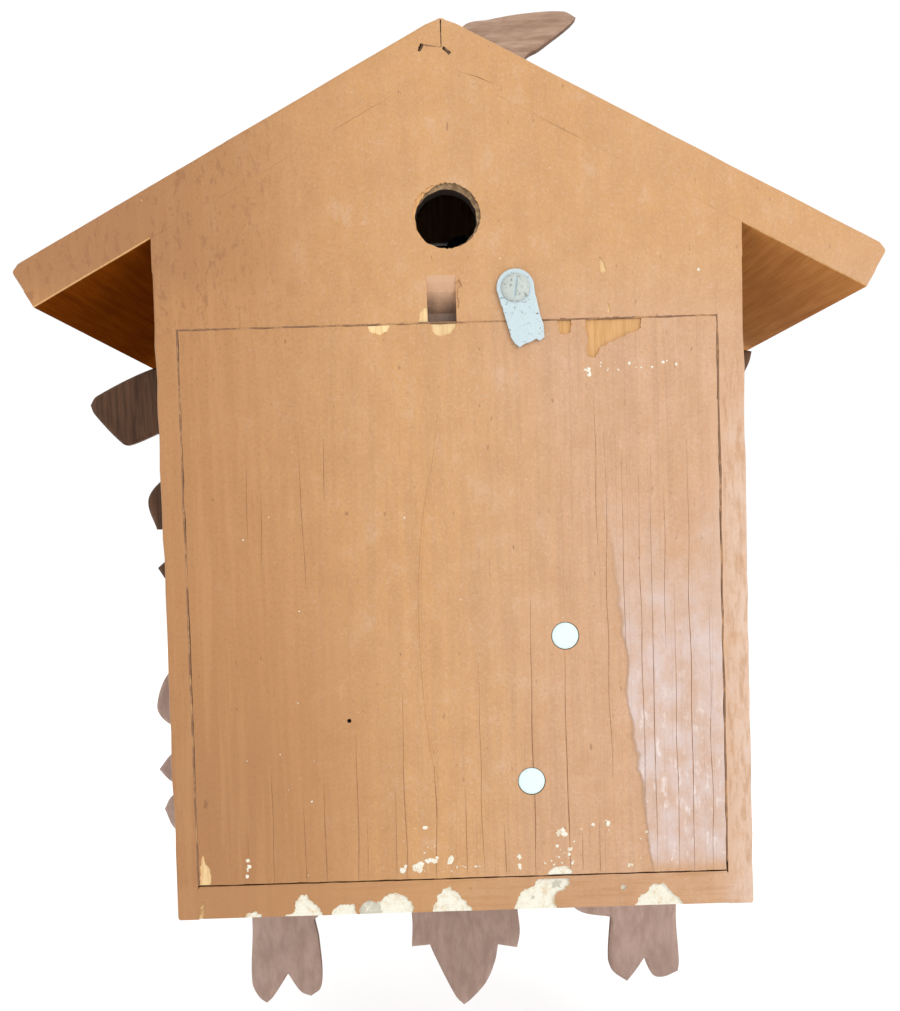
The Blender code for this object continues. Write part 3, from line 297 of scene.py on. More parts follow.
def painted(name, door=False):
    """Thick old paint over vertical pine grain: brushed and smudged, darker on one side with painted shade,
    and pale along the other, partly rubbed and partly painted sheen. The door also has a varnished patch
    with painted reflection."""
    made = Finish(name)
    ramp, shifted, across, up = made.ramp, made.shifted, made.across, made.up

    def grain(tall, *rest):
        return made.noise((1.0, 1.0, tall), *rest)

    cloud = grain(1.6, 30.0, 4.0, 0.6)
    blotch = grain(1.3, 7.0, 5.0, 0.65, 13.0)
    patch = grain(2.2, 9.0, 5.0, 0.7, 11.0)
    streak = grain(22.0, 2.2, 4.0, 0.6, 3.0)
    fine = grain(30.0, 0.5, 3.0, 0.6, 7.0)
    peel = grain(1.0, 0.55, 3.0, 0.6, 5.0)
    pore = grain(1.0, 0.8, 4.0, 0.65, 37.0)
    nick = grain(2.4, 1.3, 4.0, 0.7, 61.0)
    scuff = grain(5.0, 1.5, 5.0, 0.7, 53.0)
    fleck = grain(2.6, 1.4, 2.0, 0.5, 17.0)
    speck = grain(1.0, 0.9, 1.0, 0.5, 23.0)
    brush = made.noise((16.0, 1.0, 1.0), 0.9, 4.0, 0.6, 41.0)
    rail = ramp(up, BASE_TOP + 0.9, BASE_TOP - 0.2)
    eave = made.all_of(ramp(across, 22.0, 62.0), ramp(up, 124.0, 146.0))
    shaded_side = ramp(shifted(across, blotch, 16.0), 10.0, 74.0)
    rubbed_and_sheen = made.all_of(ramp(across, -57.0, -66.0), ramp(up, 132.0, 96.0), ramp(blotch, 0.25, 0.55))
    edges = made.all_of(ramp(made.math("ABSOLUTE", across), 61.4, 61.9), ramp(up, 134.0, 124.0))
    streaks = 0.20 if door else 0.10
    layers = [
        (PAINT_PINK, ramp(shifted(across, cloud, 50.0), 34.0, -8.0), ramp(up, 158.0, 128.0), 0.85),
        (PAINT_DIRTY, shifted(streaks, ramp(streak, 0.30, 0.62), -streaks)),
        (PAINT_DIRTY, ramp(fine, 0.54, 0.76), streaks),
        (PAINT_DEEP, ramp(blotch, 0.42, 0.72), 0.30),
        (PAINT_PALE, ramp(blotch, 0.46, 0.26), 0.22),
        (PAINT_PALE, ramp(peel, 0.50, 0.78), 0.30),
        (PAINT_DEEP, ramp(pore, 0.48, 0.72), 0.34),
        (PAINT_DEEP, ramp(brush, 0.46, 0.66), rail, 0.5),
        (PAINT_DEEP, ramp(patch, 0.44, 0.66), eave, 0.45),
        # One side is darker with painted shade, most of all low on the door.
        (PAINT_SHADED, shaded_side, 0.85),
        (PAINT_SHADED, ramp(across, 8.0, 46.0), ramp(up, 96.0, 30.0), 0.65),
        (PAINT_UMBER, ramp(across, 26.0, 60.0), ramp(up, 78.0, 22.0), 0.30),
        (PAINT_UMBER, shaded_side, ramp(pore, 0.46, 0.70), 0.30),
        (PAINT, shaded_side, ramp(streak, 0.46, 0.66), 0.22),
        # Dark flecks gather under the roof on the same side, and painted shade darkens the top of that side
        # and the roof boards' ends.
        (PAINT_UMBER, ramp(nick, 0.55, 0.62), eave, 0.75),
        (PAINT_UMBER, ramp(across, 30.0, 78.0), ramp(up, 140.0, 150.0), 0.5),
        (PAINT_DEEP, rail, ramp(across, -66.0, -20.0), 0.45),
        # The outer edge of the other side is pale, partly rubbed and partly painted sheen.
        (PAINT_PALE, rubbed_and_sheen, 0.75),
        (PAINT_DEEP, ramp(scuff, 0.44, 0.66), edges, 0.55),
        (VARNISH_AND_SHEEN, ramp(scuff, 0.42, 0.28), edges, rubbed_and_sheen, 0.6),
        (PAINT_DARK, ramp(fleck, 0.70, 0.76), 0.45),
        (CREAM, ramp(speck, 0.80, 0.83), 0.6),
    ]
    height = shifted(made.math("MULTIPLY", streak, 0.3), peel, 0.6)
    height = shifted(height, pore, -0.5)
    rough = shifted(0.34, cloud, 0.25)
    if door:
        # A varnished patch with a wavy edge, low on one side, is shinier; its paler tone is partly varnish
        # and partly painted reflection, and its glints are painted highlights.
        wave = grain(1.0, 9.0, 3.0, 0.5, 31.0)
        rim = shifted(shifted(across, up, -0.10), wave, 5.0)
        fade = ramp(shifted(up, wave, 30.0), 116.0, 70.0)
        gloss = made.all_of(ramp(rim, -41.3, -42.2), fade, ramp(shifted(up, blotch, 6.0), 11.0, 15.0))
        glint = grain(2.5, 1.7, 5.0, 0.7, 43.0)
        low = ramp(shifted(up, patch, 26.0), 70.0, 30.0)
        beside = ramp(shifted(across, patch, 18.0), 0.0, -22.0)
        broken = ramp(grain(14.0, 3.0, 2.0, 0.5, 29.0), 0.40, 0.56)
        hair = made.all_of(made.lines(across, 2.3, 0.10, 9.0), broken, made.math("MAXIMUM", low, beside))
        layers += [
            (VARNISH_AND_SHEEN, gloss, shifted(0.34, ramp(blotch, 0.62, 0.34), 0.40)),
            (VARNISH_GLINT, ramp(glint, 0.52, 0.70), gloss, ramp(up, 70.0, 30.0), 0.55),
            (PAINT_DIRTY, ramp(rim, -40.9, -41.5), ramp(rim, -42.3, -41.7), fade, 0.35),
            (PAINT_DARK, hair, 0.22),
        ]
        rough = shifted(rough, gloss, -0.16)
        height = shifted(height, gloss, 0.9)
    made.tone = made.mix(ramp(cloud, 0.35, 0.65), PAINT_WARM, PAINT)
    for colour, *masks in layers:
        made.tint(colour, *masks)
    return made.done(rough, height, 0.14, Specular_IOR_Level=0.42)


def wooden(
    name, pale, dark, grain=UPRIGHT, rough=(0.55, 0.75), depth=0.12, size=1.6, carve=False, shine=0.2
):
    """Plain or stained wood with grain stretched along one axis. Carved wood is dark in its cuts."""
    made = Finish(name)
    streak = made.noise(grain, size, 5.0, 0.65, 2.0)
    pore = made.noise(grain, size * 0.28, 3.0, 0.6, 8.0)
    cloud = made.noise(EVEN, 24.0, 3.0, 0.5, 5.0)
    made.tone = made.mix(made.ramp(streak, 0.32, 0.70), pale, dark)
    made.tint(dark, made.ramp(pore, 0.55, 0.75), 0.5)
    made.tint(tuple(0.6 * v for v in dark), made.ramp(cloud, 0.35, 0.75), 0.30)
    if carve:
        puff = made.node("ShaderNodeAttribute", {"attribute_name": "puff"}).outputs["Fac"]
        # Darker down in the cuts, paler on the worn tops of the lobes.
        made.tint(CARVE_CUT_DARK, made.ramp(puff, 0.60, 0.05), 0.75)
        made.tint(STAIN_WORN, made.ramp(puff, 0.80, 0.97), 0.30)
    gloss = made.shifted(rough[0], streak, rough[1] - rough[0])
    return made.done(gloss, made.shifted(streak, pore, 0.6), depth, Specular_IOR_Level=shine)


def mottled(name, base, patch, size, low, high, rough, metallic=0.0, depth=0.03):
    """A surface with patches of a second colour, such as tarnish, dirt or rust."""
    made = Finish(name)
    cloud = made.noise(EVEN, size, 6.0, 0.65, 4.0)
    grit = made.noise(EVEN, size * 0.15, 3.0, 0.6, 9.0)
    share = made.ramp(cloud, low, high)
    made.tone = made.mix(share, base, patch)
    made.tint(patch, made.ramp(grit, 0.55, 0.75), 0.35)
    gloss = made.shifted(rough[0], share, rough[1] - rough[0])
    return made.done(gloss, made.shifted(grit, cloud, -1.0), depth, metallic)


def woven(name):
    """Thin bellows cloth."""
    made = Finish(name)
    warp, weft, rise = (
        made.math("SINE", made.math("MULTIPLY", axis, THREADS)) for axis in (made.across, made.deep, made.up)
    )
    thread = made.math("ADD", made.math("MULTIPLY", warp, weft), made.math("MULTIPLY", warp, rise))
    stain = made.noise(EVEN, 7.0, 4.0, 0.6)
    made.tone = made.mix(made.ramp(stain, 0.4, 0.75), (0.78, 0.72, 0.58), (0.50, 0.42, 0.29))
    return made.done(0.9, thread, 0.04, Sheen_Weight=0.3)


def notched(name):
    """The finger notch: bruised paint with a painted highlight at the top, and painted shade
    deeper in towards the door.
    """
    made = Finish(name)
    cloud = made.noise((1.0, 1.0, 1.8), 3.0, 4.0, 0.6)
    level = made.shifted(made.up, cloud, 5.0)
    # Painted shade, darker deeper in the hollow towards the door.
    notch_shade = made.ramp(level, GABLE_BOTTOM + 10.5, GABLE_BOTTOM + 4.5)
    made.tone = made.mix(notch_shade, PAINT_PINK, (0.21, 0.125, 0.080))
    # A painted highlight in pale patches along the top.
    made.tint(PAINT_PALE, made.ramp(cloud, 0.55, 0.75), made.ramp(made.up, 141.0, 144.0), 0.6)
    return made.done(0.42, cloud, 0.3)


# Wood looks: (pale, dark, what differs from plain upright grain).
WOODS = {
    "stain": (STAIN, STAIN_DARK, {"rough": (0.38, 0.6)}),
    "roof_stain": (STAIN, STAIN_DARK, {"grain": LENGTHWISE, "rough": (0.38, 0.6)}),
    "soffit_shade": (
        (0.19, 0.045, 0.003), (0.13, 0.028, 0.002), {"grain": LENGTHWISE, "rough": (0.9, 1.0), "shine": 0.0}
    ),
    "soffit_lit": (
        (0.58, 0.250, 0.065), (0.46, 0.180, 0.040), {"grain": LENGTHWISE, "rough": (0.7, 0.9), "shine": 0.1}
    ),
    "inside": ((0.62, 0.41, 0.21), (0.40, 0.23, 0.10), {"rough": (0.65, 0.85)}),
    "bare": (BARE, (0.55, 0.30, 0.11), {"depth": 0.2, "size": 0.7}),
    "fresh": ((0.88, 0.67, 0.36), (0.72, 0.47, 0.23), {"depth": 0.2, "size": 0.7}),
    "edge": ((0.240, 0.135, 0.085), (0.130, 0.066, 0.040), {"grain": (2.0, 1.0, 2.0), "depth": 0.08}),
    "beech": ((0.60, 0.42, 0.25), (0.46, 0.30, 0.16), {"size": 1.0}),
    "carved": ((0.135, 0.060, 0.030), (0.080, 0.034, 0.017), {"depth": 0.08, "carve": True}),
    # The carvings' rears: sawn and tail are painted lighter as painted light, and sawn_shade is the same
    # rear wood with painted shade.
    "sawn": (
        (0.460, 0.325, 0.270), (0.355, 0.240, 0.195), {"grain": (1.0, 1.0, 3.0), "size": 2.4, "depth": 0.08}
    ),
    "tail": ((0.490, 0.330, 0.235), (0.320, 0.200, 0.135), {"grain": (9.0, 1.0, 1.0), "depth": 0.08}),
    "sawn_shade": ((0.150, 0.075, 0.040), (0.070, 0.035, 0.020), {"size": 1.1}),
    "dial": ((0.070, 0.032, 0.018), (0.028, 0.013, 0.008), {"rough": (0.3, 0.5)}),
}
# Mottled looks: (base, patches, their size, where the patches start and are full, roughness of the
# base and of the patches, metallic, depth).
MOTTLES = {
    "seam": ((0.200, 0.095, 0.042), (0.420, 0.225, 0.100), 5.0, 0.46, 0.62, (0.6, 0.8)),
    "crack": ((0.320, 0.155, 0.068), (0.450, 0.235, 0.105), 3.0, 0.45, 0.65, (0.7, 0.9)),
    "rim": ((0.25, 0.145, 0.070), (0.50, 0.34, 0.18), 1.2, 0.42, 0.66, (0.6, 0.8), 0.0, 0.3),
    # The pit look is near black: painted shade in the hanging hole's walls, the nail pit and the cuckoo
    # door's grooves.
    "pit": ((0.020, 0.010, 0.006), (0.08, 0.04, 0.02), 0.8, 0.5, 0.8, (0.8, 0.9)),
    "cream": (CREAM, (0.66, 0.53, 0.36), 2.2, 0.46, 0.72, (0.8, 0.9), 0.0, 0.2),
    "grey_ground": ((0.50, 0.47, 0.38), CREAM, 1.6, 0.5, 0.7, (0.8, 0.9)),
    "ivory": ((0.80, 0.74, 0.60), (0.60, 0.50, 0.34), 9.0, 0.5, 0.8, (0.35, 0.5)),
    "zinc": ((0.51, 0.61, 0.64), (0.17, 0.17, 0.15), 0.9, 0.58, 0.72, (0.5, 0.8), 0.15, 0.10),
    "screw": ((0.50, 0.55, 0.52), (0.20, 0.19, 0.15), 0.8, 0.50, 0.70, (0.5, 0.8), 0.15, 0.12),
    "rivet": ((0.66, 0.79, 0.78), (0.46, 0.56, 0.54), 2.4, 0.60, 0.8, (0.6, 0.8)),
    "steel": ((0.48, 0.47, 0.45), (0.22, 0.16, 0.11), 5.0, 0.5, 0.8, (0.3, 0.55), 1.0),
    "rust": ((0.16, 0.085, 0.045), (0.06, 0.035, 0.02), 0.8, 0.4, 0.6, (0.6, 0.8), 0.3),
    "brass": ((0.74, 0.54, 0.22), (0.36, 0.23, 0.09), 8.0, 0.45, 0.75, (0.36, 0.58), 1.0),
    "iron": ((0.035, 0.035, 0.04), (0.09, 0.07, 0.06), 3.0, 0.5, 0.8, (0.35, 0.6), 0.4),
    "bird": ((0.07, 0.11, 0.19), (0.03, 0.05, 0.09), 3.0, 0.45, 0.7, (0.4, 0.6)),
    "breast": ((0.75, 0.72, 0.62), (0.35, 0.32, 0.28), 2.0, 0.5, 0.8, (0.5, 0.6)),
    "beak": ((0.75, 0.42, 0.06), (0.45, 0.20, 0.03), 2.0, 0.5, 0.8, (0.4, 0.5)),
    "eye": ((0.01, 0.01, 0.01), (0.03, 0.02, 0.02), 1.0, 0.5, 0.8, (0.1, 0.2)),
}
LOOK = {
    "paint": painted("paint"),
    "door_paint": painted("door_paint", True),
    "notch": notched("notch"),
    "cloth": woven("cloth"),
}
for look, (pale, dark, rest) in WOODS.items():
    LOOK[look] = wooden(look, pale, dark, **rest)
for look, measures in MOTTLES.items():
    LOOK[look] = mottled(look, *measures)

# ---------------------------------------------------------------- mesh helpers


def to_object(name, work, looks):
    bmesh.ops.recalc_face_normals(work, faces=work.faces)
    mesh = bpy.data.meshes.new(name)
    work.to_mesh(mesh)
    work.free()
    for look in looks:
        mesh.materials.append(LOOK[look])
    made = bpy.data.objects.new(name, mesh)
    bpy.context.scene.collection.objects.link(made)
    return made


def smoothed(made, angle):
    """Shades a piece smoothly, except along edges sharper than the angle in degrees."""
    made.data.shade_smooth()
    made.data.set_sharp_from_angle(angle=math.radians(angle))
    return made


def settle(made, body, slot, *nodes, smooth=None):
    """Gives a finished piece its body and hides the CAD nodes that it stands for. The slot is not used."""
    if smooth is not None:
        smoothed(made, smooth)
    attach(made, body)
    if nodes:
        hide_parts(*nodes)
    return made


def shape_now(made):
    """A new mesh of the shape that an object's modifiers or curve give."""
    graph = bpy.context.evaluated_depsgraph_get()
    return bpy.data.meshes.new_from_object(made.evaluated_get(graph), depsgraph=graph)


def bake_modifiers(made):
    """Keeps the shape that the modifiers give and drops them."""
    mesh = shape_now(made)
    made.modifiers.clear()
    made.data = mesh
    return made


def ring(radius, count, centre=(0.0, 0.0), start=0.0):
    turns = [start + math.tau * step / count for step in range(count)]
    return [(centre[0] + radius * math.cos(a), centre[1] + radius * math.sin(a)) for a in turns]


def rectangle(low, high):
    return [(low[0], low[1]), (high[0], low[1]), (high[0], high[1]), (low[0], high[1])]


def worn_run(run, step, amount, seed=0.0, wave=7.0):
    """An outline with more points, each moved a little sideways, as a worn edge is."""
    points = []
    for (x0, y0), (x1, y1) in zip(run, run[1:] + run[:1]):
        length = math.hypot(x1 - x0, y1 - y0)
        count = max(1, round(length / step))
        for index in range(count):
            share = index / count
            x, y = x0 + (x1 - x0) * share, y0 + (y1 - y0) * share
            push = amount * noise.noise(Vector((x / wave, y / wave, seed))) * 2.0
            if index == 0:
                push = 0.0
            points.append((x - push * (y1 - y0) / length, y + push * (x1 - x0) / length))
    return points


def curved(run, step, sharp=55.0):
    """A smooth closed outline through the points. Turns sharper than the limit stay corners."""
    spots = [Vector(point) for point in run]
    count = len(spots)
    points = []
    for index in range(count):
        before, here, after, beyond = (spots[(index + k) % count] for k in (-1, 0, 1, 2))
        chord = after - here
        leave = arrive = chord
        if (here - before).angle(chord) < math.radians(sharp):
            leave = (after - before).normalized() * chord.length
        if chord.angle(beyond - after) < math.radians(sharp):
            arrive = (beyond - here).normalized() * chord.length
        parts = max(1, round(chord.length / step))
        for part in range(parts):
            t = part / parts
            spot = here * (2 * t**3 - 3 * t**2 + 1) + leave * (t**3 - 2 * t**2 + t)
            spot += after * (3 * t**2 - 2 * t**3) + arrive * (t**3 - t**2)
            points.append(tuple(spot))
    return points


INSIDE_ONLY = 1
LAYOUTS = {
    "deep": place,
    "up": lambda x, y, level: place(x, level, y),
    "across": lambda x, y, level: place(level, x, y),
}


def fill_outline(runs, inner=()):
    """Triangles inside closed outlines, of which the inner ones are holes. Inner adds loose points."""
    points = [Vector(point) for run in runs for point in run]
    borders = []
    for run in runs:
        first = len(borders)
        borders += [(first + i, first + (i + 1) % len(run)) for i in range(len(run))]
    points += [Vector(point) for point in inner]
    spots, _, faces, _, _, _ = delaunay_2d_cdt(points, borders, [], INSIDE_ONLY, 1e-4)
    spots = [tuple(spot) for spot in spots]
    kept = []
    for face in faces:
        middle = [sum(spots[index][k] for index in face) / len(face) for k in (0, 1)]
        if not any(is_within(middle, run) for run in runs[1:]):
            kept.append(face)
    return spots, kept


def is_within(spot, run):
    """True if a point is inside a closed outline."""
    inside = False
    for (x0, y0), (x1, y1) in zip(run, run[1:] + run[:1]):
        if (y0 > spot[1]) != (y1 > spot[1]):
            inside ^= spot[0] < x0 + (x1 - x0) * (spot[1] - y0) / (y1 - y0)
    return inside


def slab(near, far, faces, lay):
    """A closed mesh from two layers of points that share their faces, with walls round the rim."""
    work = bmesh.new()
    layers = [[work.verts.new(lay(*spot)) for spot in layer] for layer in (near, far)]
    sides = {pair for face in faces for pair in zip(face, face[1:] + face[:1])}
    for layer in layers:
        for face in faces:
            work.faces.new([layer[index] for index in face])
    for first, second in sides:
        if (second, first) not in sides:
            pair = [layers[0][first], layers[0][second]]
            work.faces.new(pair + [layers[1][second], layers[1][first]])
    return work


def prism_mesh(runs, low, high, axis="deep"):
    """A flat shape with holes carried from low to high. Its points are (across, up) for the axis
    deep, (across, deep) for up, and (up, deep) for across."""
    spots, faces = fill_outline(runs)
    layers = [[(*spot, level) for spot in spots] for level in (low, high)]
    work = slab(layers[0], layers[1], faces, LAYOUTS[axis])
    bmesh.ops.dissolve_limit(work, angle_limit=0.005, verts=[], edges=work.edges)
    bmesh.ops.recalc_face_normals(work, faces=work.faces)
    return work


def soften(work, width, chosen=None, index=0, limit=35.0):
    """Rounds the sharp edges that chosen, given each edge's middle in clock millimetres, accepts."""
    sharp = []
    for edge in work.edges:
        if len(edge.link_faces) == 2 and edge.calc_face_angle() > math.radians(limit):
            middle = (edge.verts[0].co + edge.verts[1].co) / 2
            if chosen is None or chosen(*clock_spot(middle)):
                sharp.append(edge)
    settings = {"offset_type": "OFFSET", "profile": 0.5, "affect": "EDGES", "clamp_overlap": True}
    bmesh.ops.bevel(work, geom=sharp, offset=width * MM, segments=2, material=index, **settings)
    return work


def facing(made, rules, rest):
    """Gives each face the first material whose rule accepts its middle and direction, or the rest's."""
    for face in made.data.polygons:
        spot = clock_spot(face.center)
        fits = (index for index, rule in rules if rule(spot, face.normal))
        face.material_index = next(fits, rest)
    return made


def cut(made, *helpers):
    """Cuts helper solids out of a piece. The cut faces keep the helpers' own materials."""
    for helper in helpers:
        change = made.modifiers.new("cut", "BOOLEAN")
        change.operation = "DIFFERENCE"
        change.solver = "EXACT"
        change.material_mode = "TRANSFER"
        change.object = helper
    bake_modifiers(made)
    for helper in helpers:
        bpy.data.objects.remove(helper, do_unlink=True)


def flat(name, run, low, high, look, axis="deep"):
    """A piece, or a helper for cut, with one closed outline and one look."""
    return to_object(name, prism_mesh([run], low, high, axis), [look])


def pocket(run, look, depth, seed, ragged=0.2):
    """A shallow ragged hollow in a rear face, where the paint has come away."""
    return flat("pocket", worn_run(run, 0.45, ragged, seed, 0.9), -2.0, depth, look)


def pockets(chips, seed):
    """One hollow for each chip of look, depth and outline."""
    return [pocket(run, look, depth, seed + number) for number, (look, depth, run) in enumerate(chips)]


def lathe(name, profile, centre, look, axis="deep", steps=32, smooth=40.0):
    """A turned piece: profile points are (radius, along), and its axis passes through centre."""
    work = bmesh.new()
    rings = []
    for radius, along in profile:
        if radius < 0.001:
            rings.append([turn_point(0.0, 0.0, along, centre, axis, work)])
        else:
            rings.append([turn_point(x, y, along, centre, axis, work) for x, y in ring(radius, steps)])
    for first, second in zip(rings, rings[1:]):
        join_rings(work, first, second)
    return smoothed(to_object(name, work, [look]), smooth)


def turn_point(x, y, along, centre, axis, work):
    """A new point of a turned piece whose axis is deep or up."""
    across, up, deep = centre
    spot = (x, y, along) if axis == "deep" else (x, along, y)
    return work.verts.new(place(across + spot[0], up + spot[1], deep + spot[2]))


def join_rings(work, first, second):
    """Faces between two rings of points, of which one may be a single point."""
    count = max(len(first), len(second))
    for index in range(count if count > 1 else 0):
        after = (index + 1) % count
        corners = [first[index % len(first)], first[after % len(first)]]
        corners += [second[after % len(second)], second[index % len(second)]]
        unique = list(dict.fromkeys(corners))
        if len(unique) > 2:
            work.faces.new(unique)


def stack(work, rings):
    """A closed skin over rings of points."""
    for first, second in zip(rings, rings[1:]):
        join_rings(work, first, second)
    work.faces.new(rings[0])
    work.faces.new(rings[-1])


def tube(name, points, radius, look, steps=4):
    """A round wire through points in clock millimetres, smoothed between them."""
    data = bpy.data.curves.new(name, "CURVE")
    data.dimensions = "3D"
    data.bevel_depth = radius * MM
    data.bevel_resolution = 4
    data.resolution_u = steps
    data.use_fill_caps = True
    line = data.splines.new("BEZIER")
    line.bezier_points.add(len(points) - 1)
    for knot, spot in zip(line.bezier_points, points):
        knot.co = place(*spot)
        knot.handle_left_type = knot.handle_right_type = "AUTO"
    made = bpy.data.objects.new(name, data)
    bpy.context.scene.collection.objects.link(made)
    bpy.context.view_layer.update()
    mesh = shape_now(made)
    bpy.data.objects.remove(made, do_unlink=True)
    work = bmesh.new()
    work.from_mesh(mesh)
    bmesh.ops.remove_doubles(work, verts=work.verts, dist=0.002 * MM)
    return smoothed(to_object(name, work, [look]), 50.0)


def rim_of(node):
    """Outline of a flat CAD plate as (across, up) points, read from its rear face."""
    mesh = NODES[node].data
    rear = max(vertex.co.y for vertex in mesh.vertices)
    spots = {}
    for vertex in mesh.vertices:
        spots[vertex.index] = tuple(round(value / MM, 3) for value in vertex.co)
    edges = {}
    for face in mesh.polygons:
        if all(abs(mesh.vertices[i].co.y - rear) < 0.02 * MM for i in face.vertices):
            corners = [spots[i] for i in face.vertices]
            for first, second in zip(corners, corners[1:] + corners[:1]):
                edges[(first, second)] = True
    follow = {first: second for first, second in edges if (second, first) not in edges}
    start = max(follow)
    run = [start]
    while follow[run[-1]] != start:
        run.append(follow[run[-1]])
    return [(x, z - CASE_FLOOR / MM) for x, _, z in run]


# ---------------------------------------------------------------- case boards

SOUND_HOLE = (84.5, 60.0)
SOUND_RADIUS = 6.0


def rear_paint(spot, normal):
    return normal.y > 0.35


def to_case(made, *nodes):
    return settle(made, "case", "painted_wood", *nodes)


def build_sides():
    for side, sign in SIDES:
        inner = INNERS[sign]
        outline = [(inner, 0.0), (OUTER, 0.0), (OUTER, roof_line(OUTER)), (inner, roof_line(inner))]
        run = worn_run([(sign * x, up) for x, up in outline], 4.0, 0.14, sign * 3.0)
        work = prism_mesh([run], *SIDE_DEEP)
        soften(work, 0.55, lambda x, up, deep: abs(x) > OUTER - 1.0 and up < 150.0)
        made = to_object("case_side_" + side, work, ["paint", "stain", "inside"])
        facing(made, [(0, rear_paint), (2, lambda spot, normal: abs(spot[0]) < inner + 0.4)], 1)
        hole = ring(SOUND_RADIUS, 40, SOUND_HOLE)
        cut(made, flat("hole", hole, 40.0 * sign, 80.0 * sign, "inside", "across"))
        to_case(made, "side_panel_" + side)


# Where the ground shows along the lower rear edge: (look, outline of (across, up)).
EDGE_CHIPS = [
    ("cream", [(51.3, 0.3), (50.6, 1.3), (48.6, 1.5), (47.4, 0.8), (47.9, -1.0), (50.9, -1.0)]),
    ("cream", [(42.1, -1.0), (41.9, 0.6), (40.3, 0.9), (39.6, 3.0), (38.3, 5.1), (37.0, 5.3), (36.2, 3.8),
               (34.7, 2.7), (33.4, 0.8), (32.9, -1.0)]),
    ("cream", [(31.9, -1.0), (30.9, 1.4), (29.4, 2.4), (27.3, 2.7), (25.8, 2.2), (25.3, -1.0)]),
    ("cream", [(20.9, -1.0), (20.8, 2.2), (19.0, 4.0), (16.4, 5.0), (14.4, 4.2), (12.5, 2.6), (12.4, -1.0)]),
    ("grey_ground", [(25.0, -1.0), (24.3, 2.1), (22.6, 3.3), (21.1, 2.9), (19.9, 1.9), (19.6, -1.0)]),
    ("cream", [(7.5, -1.0), (7.4, 1.9), (6.1, 4.3), (3.8, 6.0), (1.7, 4.5), (0.4, 2.7), (-0.9, 1.3),
               (-1.6, -1.0)]),
    ("cream", [(-10.9, -1.0), (-12.2, 3.1), (-13.7, 5.0), (-15.9, 5.5), (-16.7, 6.8), (-17.2, 8.5),
               (-23.9, 8.5), (-24.2, 6.0), (-22.9, 4.4), (-20.9, 3.4), (-20.9, -1.0)]),
    ("grey_ground", [(-20.2, 4.6), (-22.1, 4.7), (-22.5, 6.2), (-20.9, 6.7), (-19.9, 6.0)]),
    ("grey_ground", [(-15.1, 2.2), (-15.8, 2.3), (-15.7, 3.1), (-15.2, 3.0)]),
    ("cream", [(-39.2, -1.0), (-40.0, 2.0), (-42.1, 3.2), (-43.6, 5.2), (-46.2, 5.1), (-47.5, 3.4),
               (-50.3, 0.7), (-50.5, -1.0)]),
    ("cream", [(-35.9, 4.3), (-37.1, 4.0), (-37.5, 4.9), (-36.6, 5.4)]),
    ("fresh", [(61.9, 0.1), (61.2, 0.1), (60.6, 3.9), (61.2, 4.3)]),
]
CHAIN_HOLES = (-26.0, -13.0, 13.0, 26.0)
CHAIN_DEEP = 50.5
PENDULUM_SLOT = ((-20.0, 33.0), (20.0, 41.0))


def build_base():
    left, right = -INNERS[-1] - 0.05, INNERS[1] + 0.05
    holes = [ring(3.0, 24, (across, CHAIN_DEEP), 0.1) for across in CHAIN_HOLES]
    holes.append(rectangle(*PENDULUM_SLOT))
    outline = worn_run(rectangle((left, 0.0), (right, SIDE_DEEP[1])), 6.0, 0.05)
    work = prism_mesh([outline] + holes, 0.0, BASE_TOP, "up")
    soften(work, 0.45, lambda x, up, deep: up < 0.5 and deep < 0.5)
    made = to_object("case_base", work, ["paint", "stain", "inside"])
    facing(made, [(0, rear_paint), (1, lambda spot, normal: spot[1] < 0.6)], 2)
    chips = [
        pocket(curved(run, 2.4, 70.0), look, 0.5 + 0.02 * number, number * 3.7, 0.34)
        for number, (look, run) in enumerate(EDGE_CHIPS)
    ]
    cut(made, *chips)
    to_case(made, "base_board")
    # Paint has built up into a thin lip along the top of the rear edge.
    lip = rectangle((left + 0.4, BASE_TOP - 0.2), (right - 0.4, BASE_TOP + 0.36))
    lip = worn_run(lip, 1.4, 0.06, 33.0, 3.0)
    to_case(flat("base_paint_lip", lip, 0.02, 0.2, "paint"))


# Places where split wood or ground shows on the gable: (look, depth, outline).
GABLE_CHIPS = [
    ("fresh", 0.4, [(3.6, 135.5), (7.0, 135.5), (6.7, 138.0), (5.8, 139.4), (3.6, 139.6)]),
    ("paint", 0.4, [(-2.4, 139.0), (-1.0, 139.0), (-1.2, 144.0), (-2.6, 145.6), (-3.2, 144.0),
                    (-2.2, 143.2)]),
    ("fresh", 0.3, [(-34.3, 149.6), (-35.0, 149.4), (-36.1, 146.8), (-35.4, 145.7), (-34.6, 146.4)]),
    ("fresh", 0.3, [(-36.2, 139.3), (-36.9, 137.1), (-36.0, 137.2)]),
    ("cream", 0.15, [(-56.6, 146.4), (-57.2, 146.6), (-57.1, 145.8)]),
]
# The hanging hole as it shows: worn a little wider and lower than the CAD model's round one.
HOLE_ACROSS, HOLE_UP = 0.1, HANG_UP - 0.8
HOLE_WIDE, HOLE_TALL = 7.05, 6.7


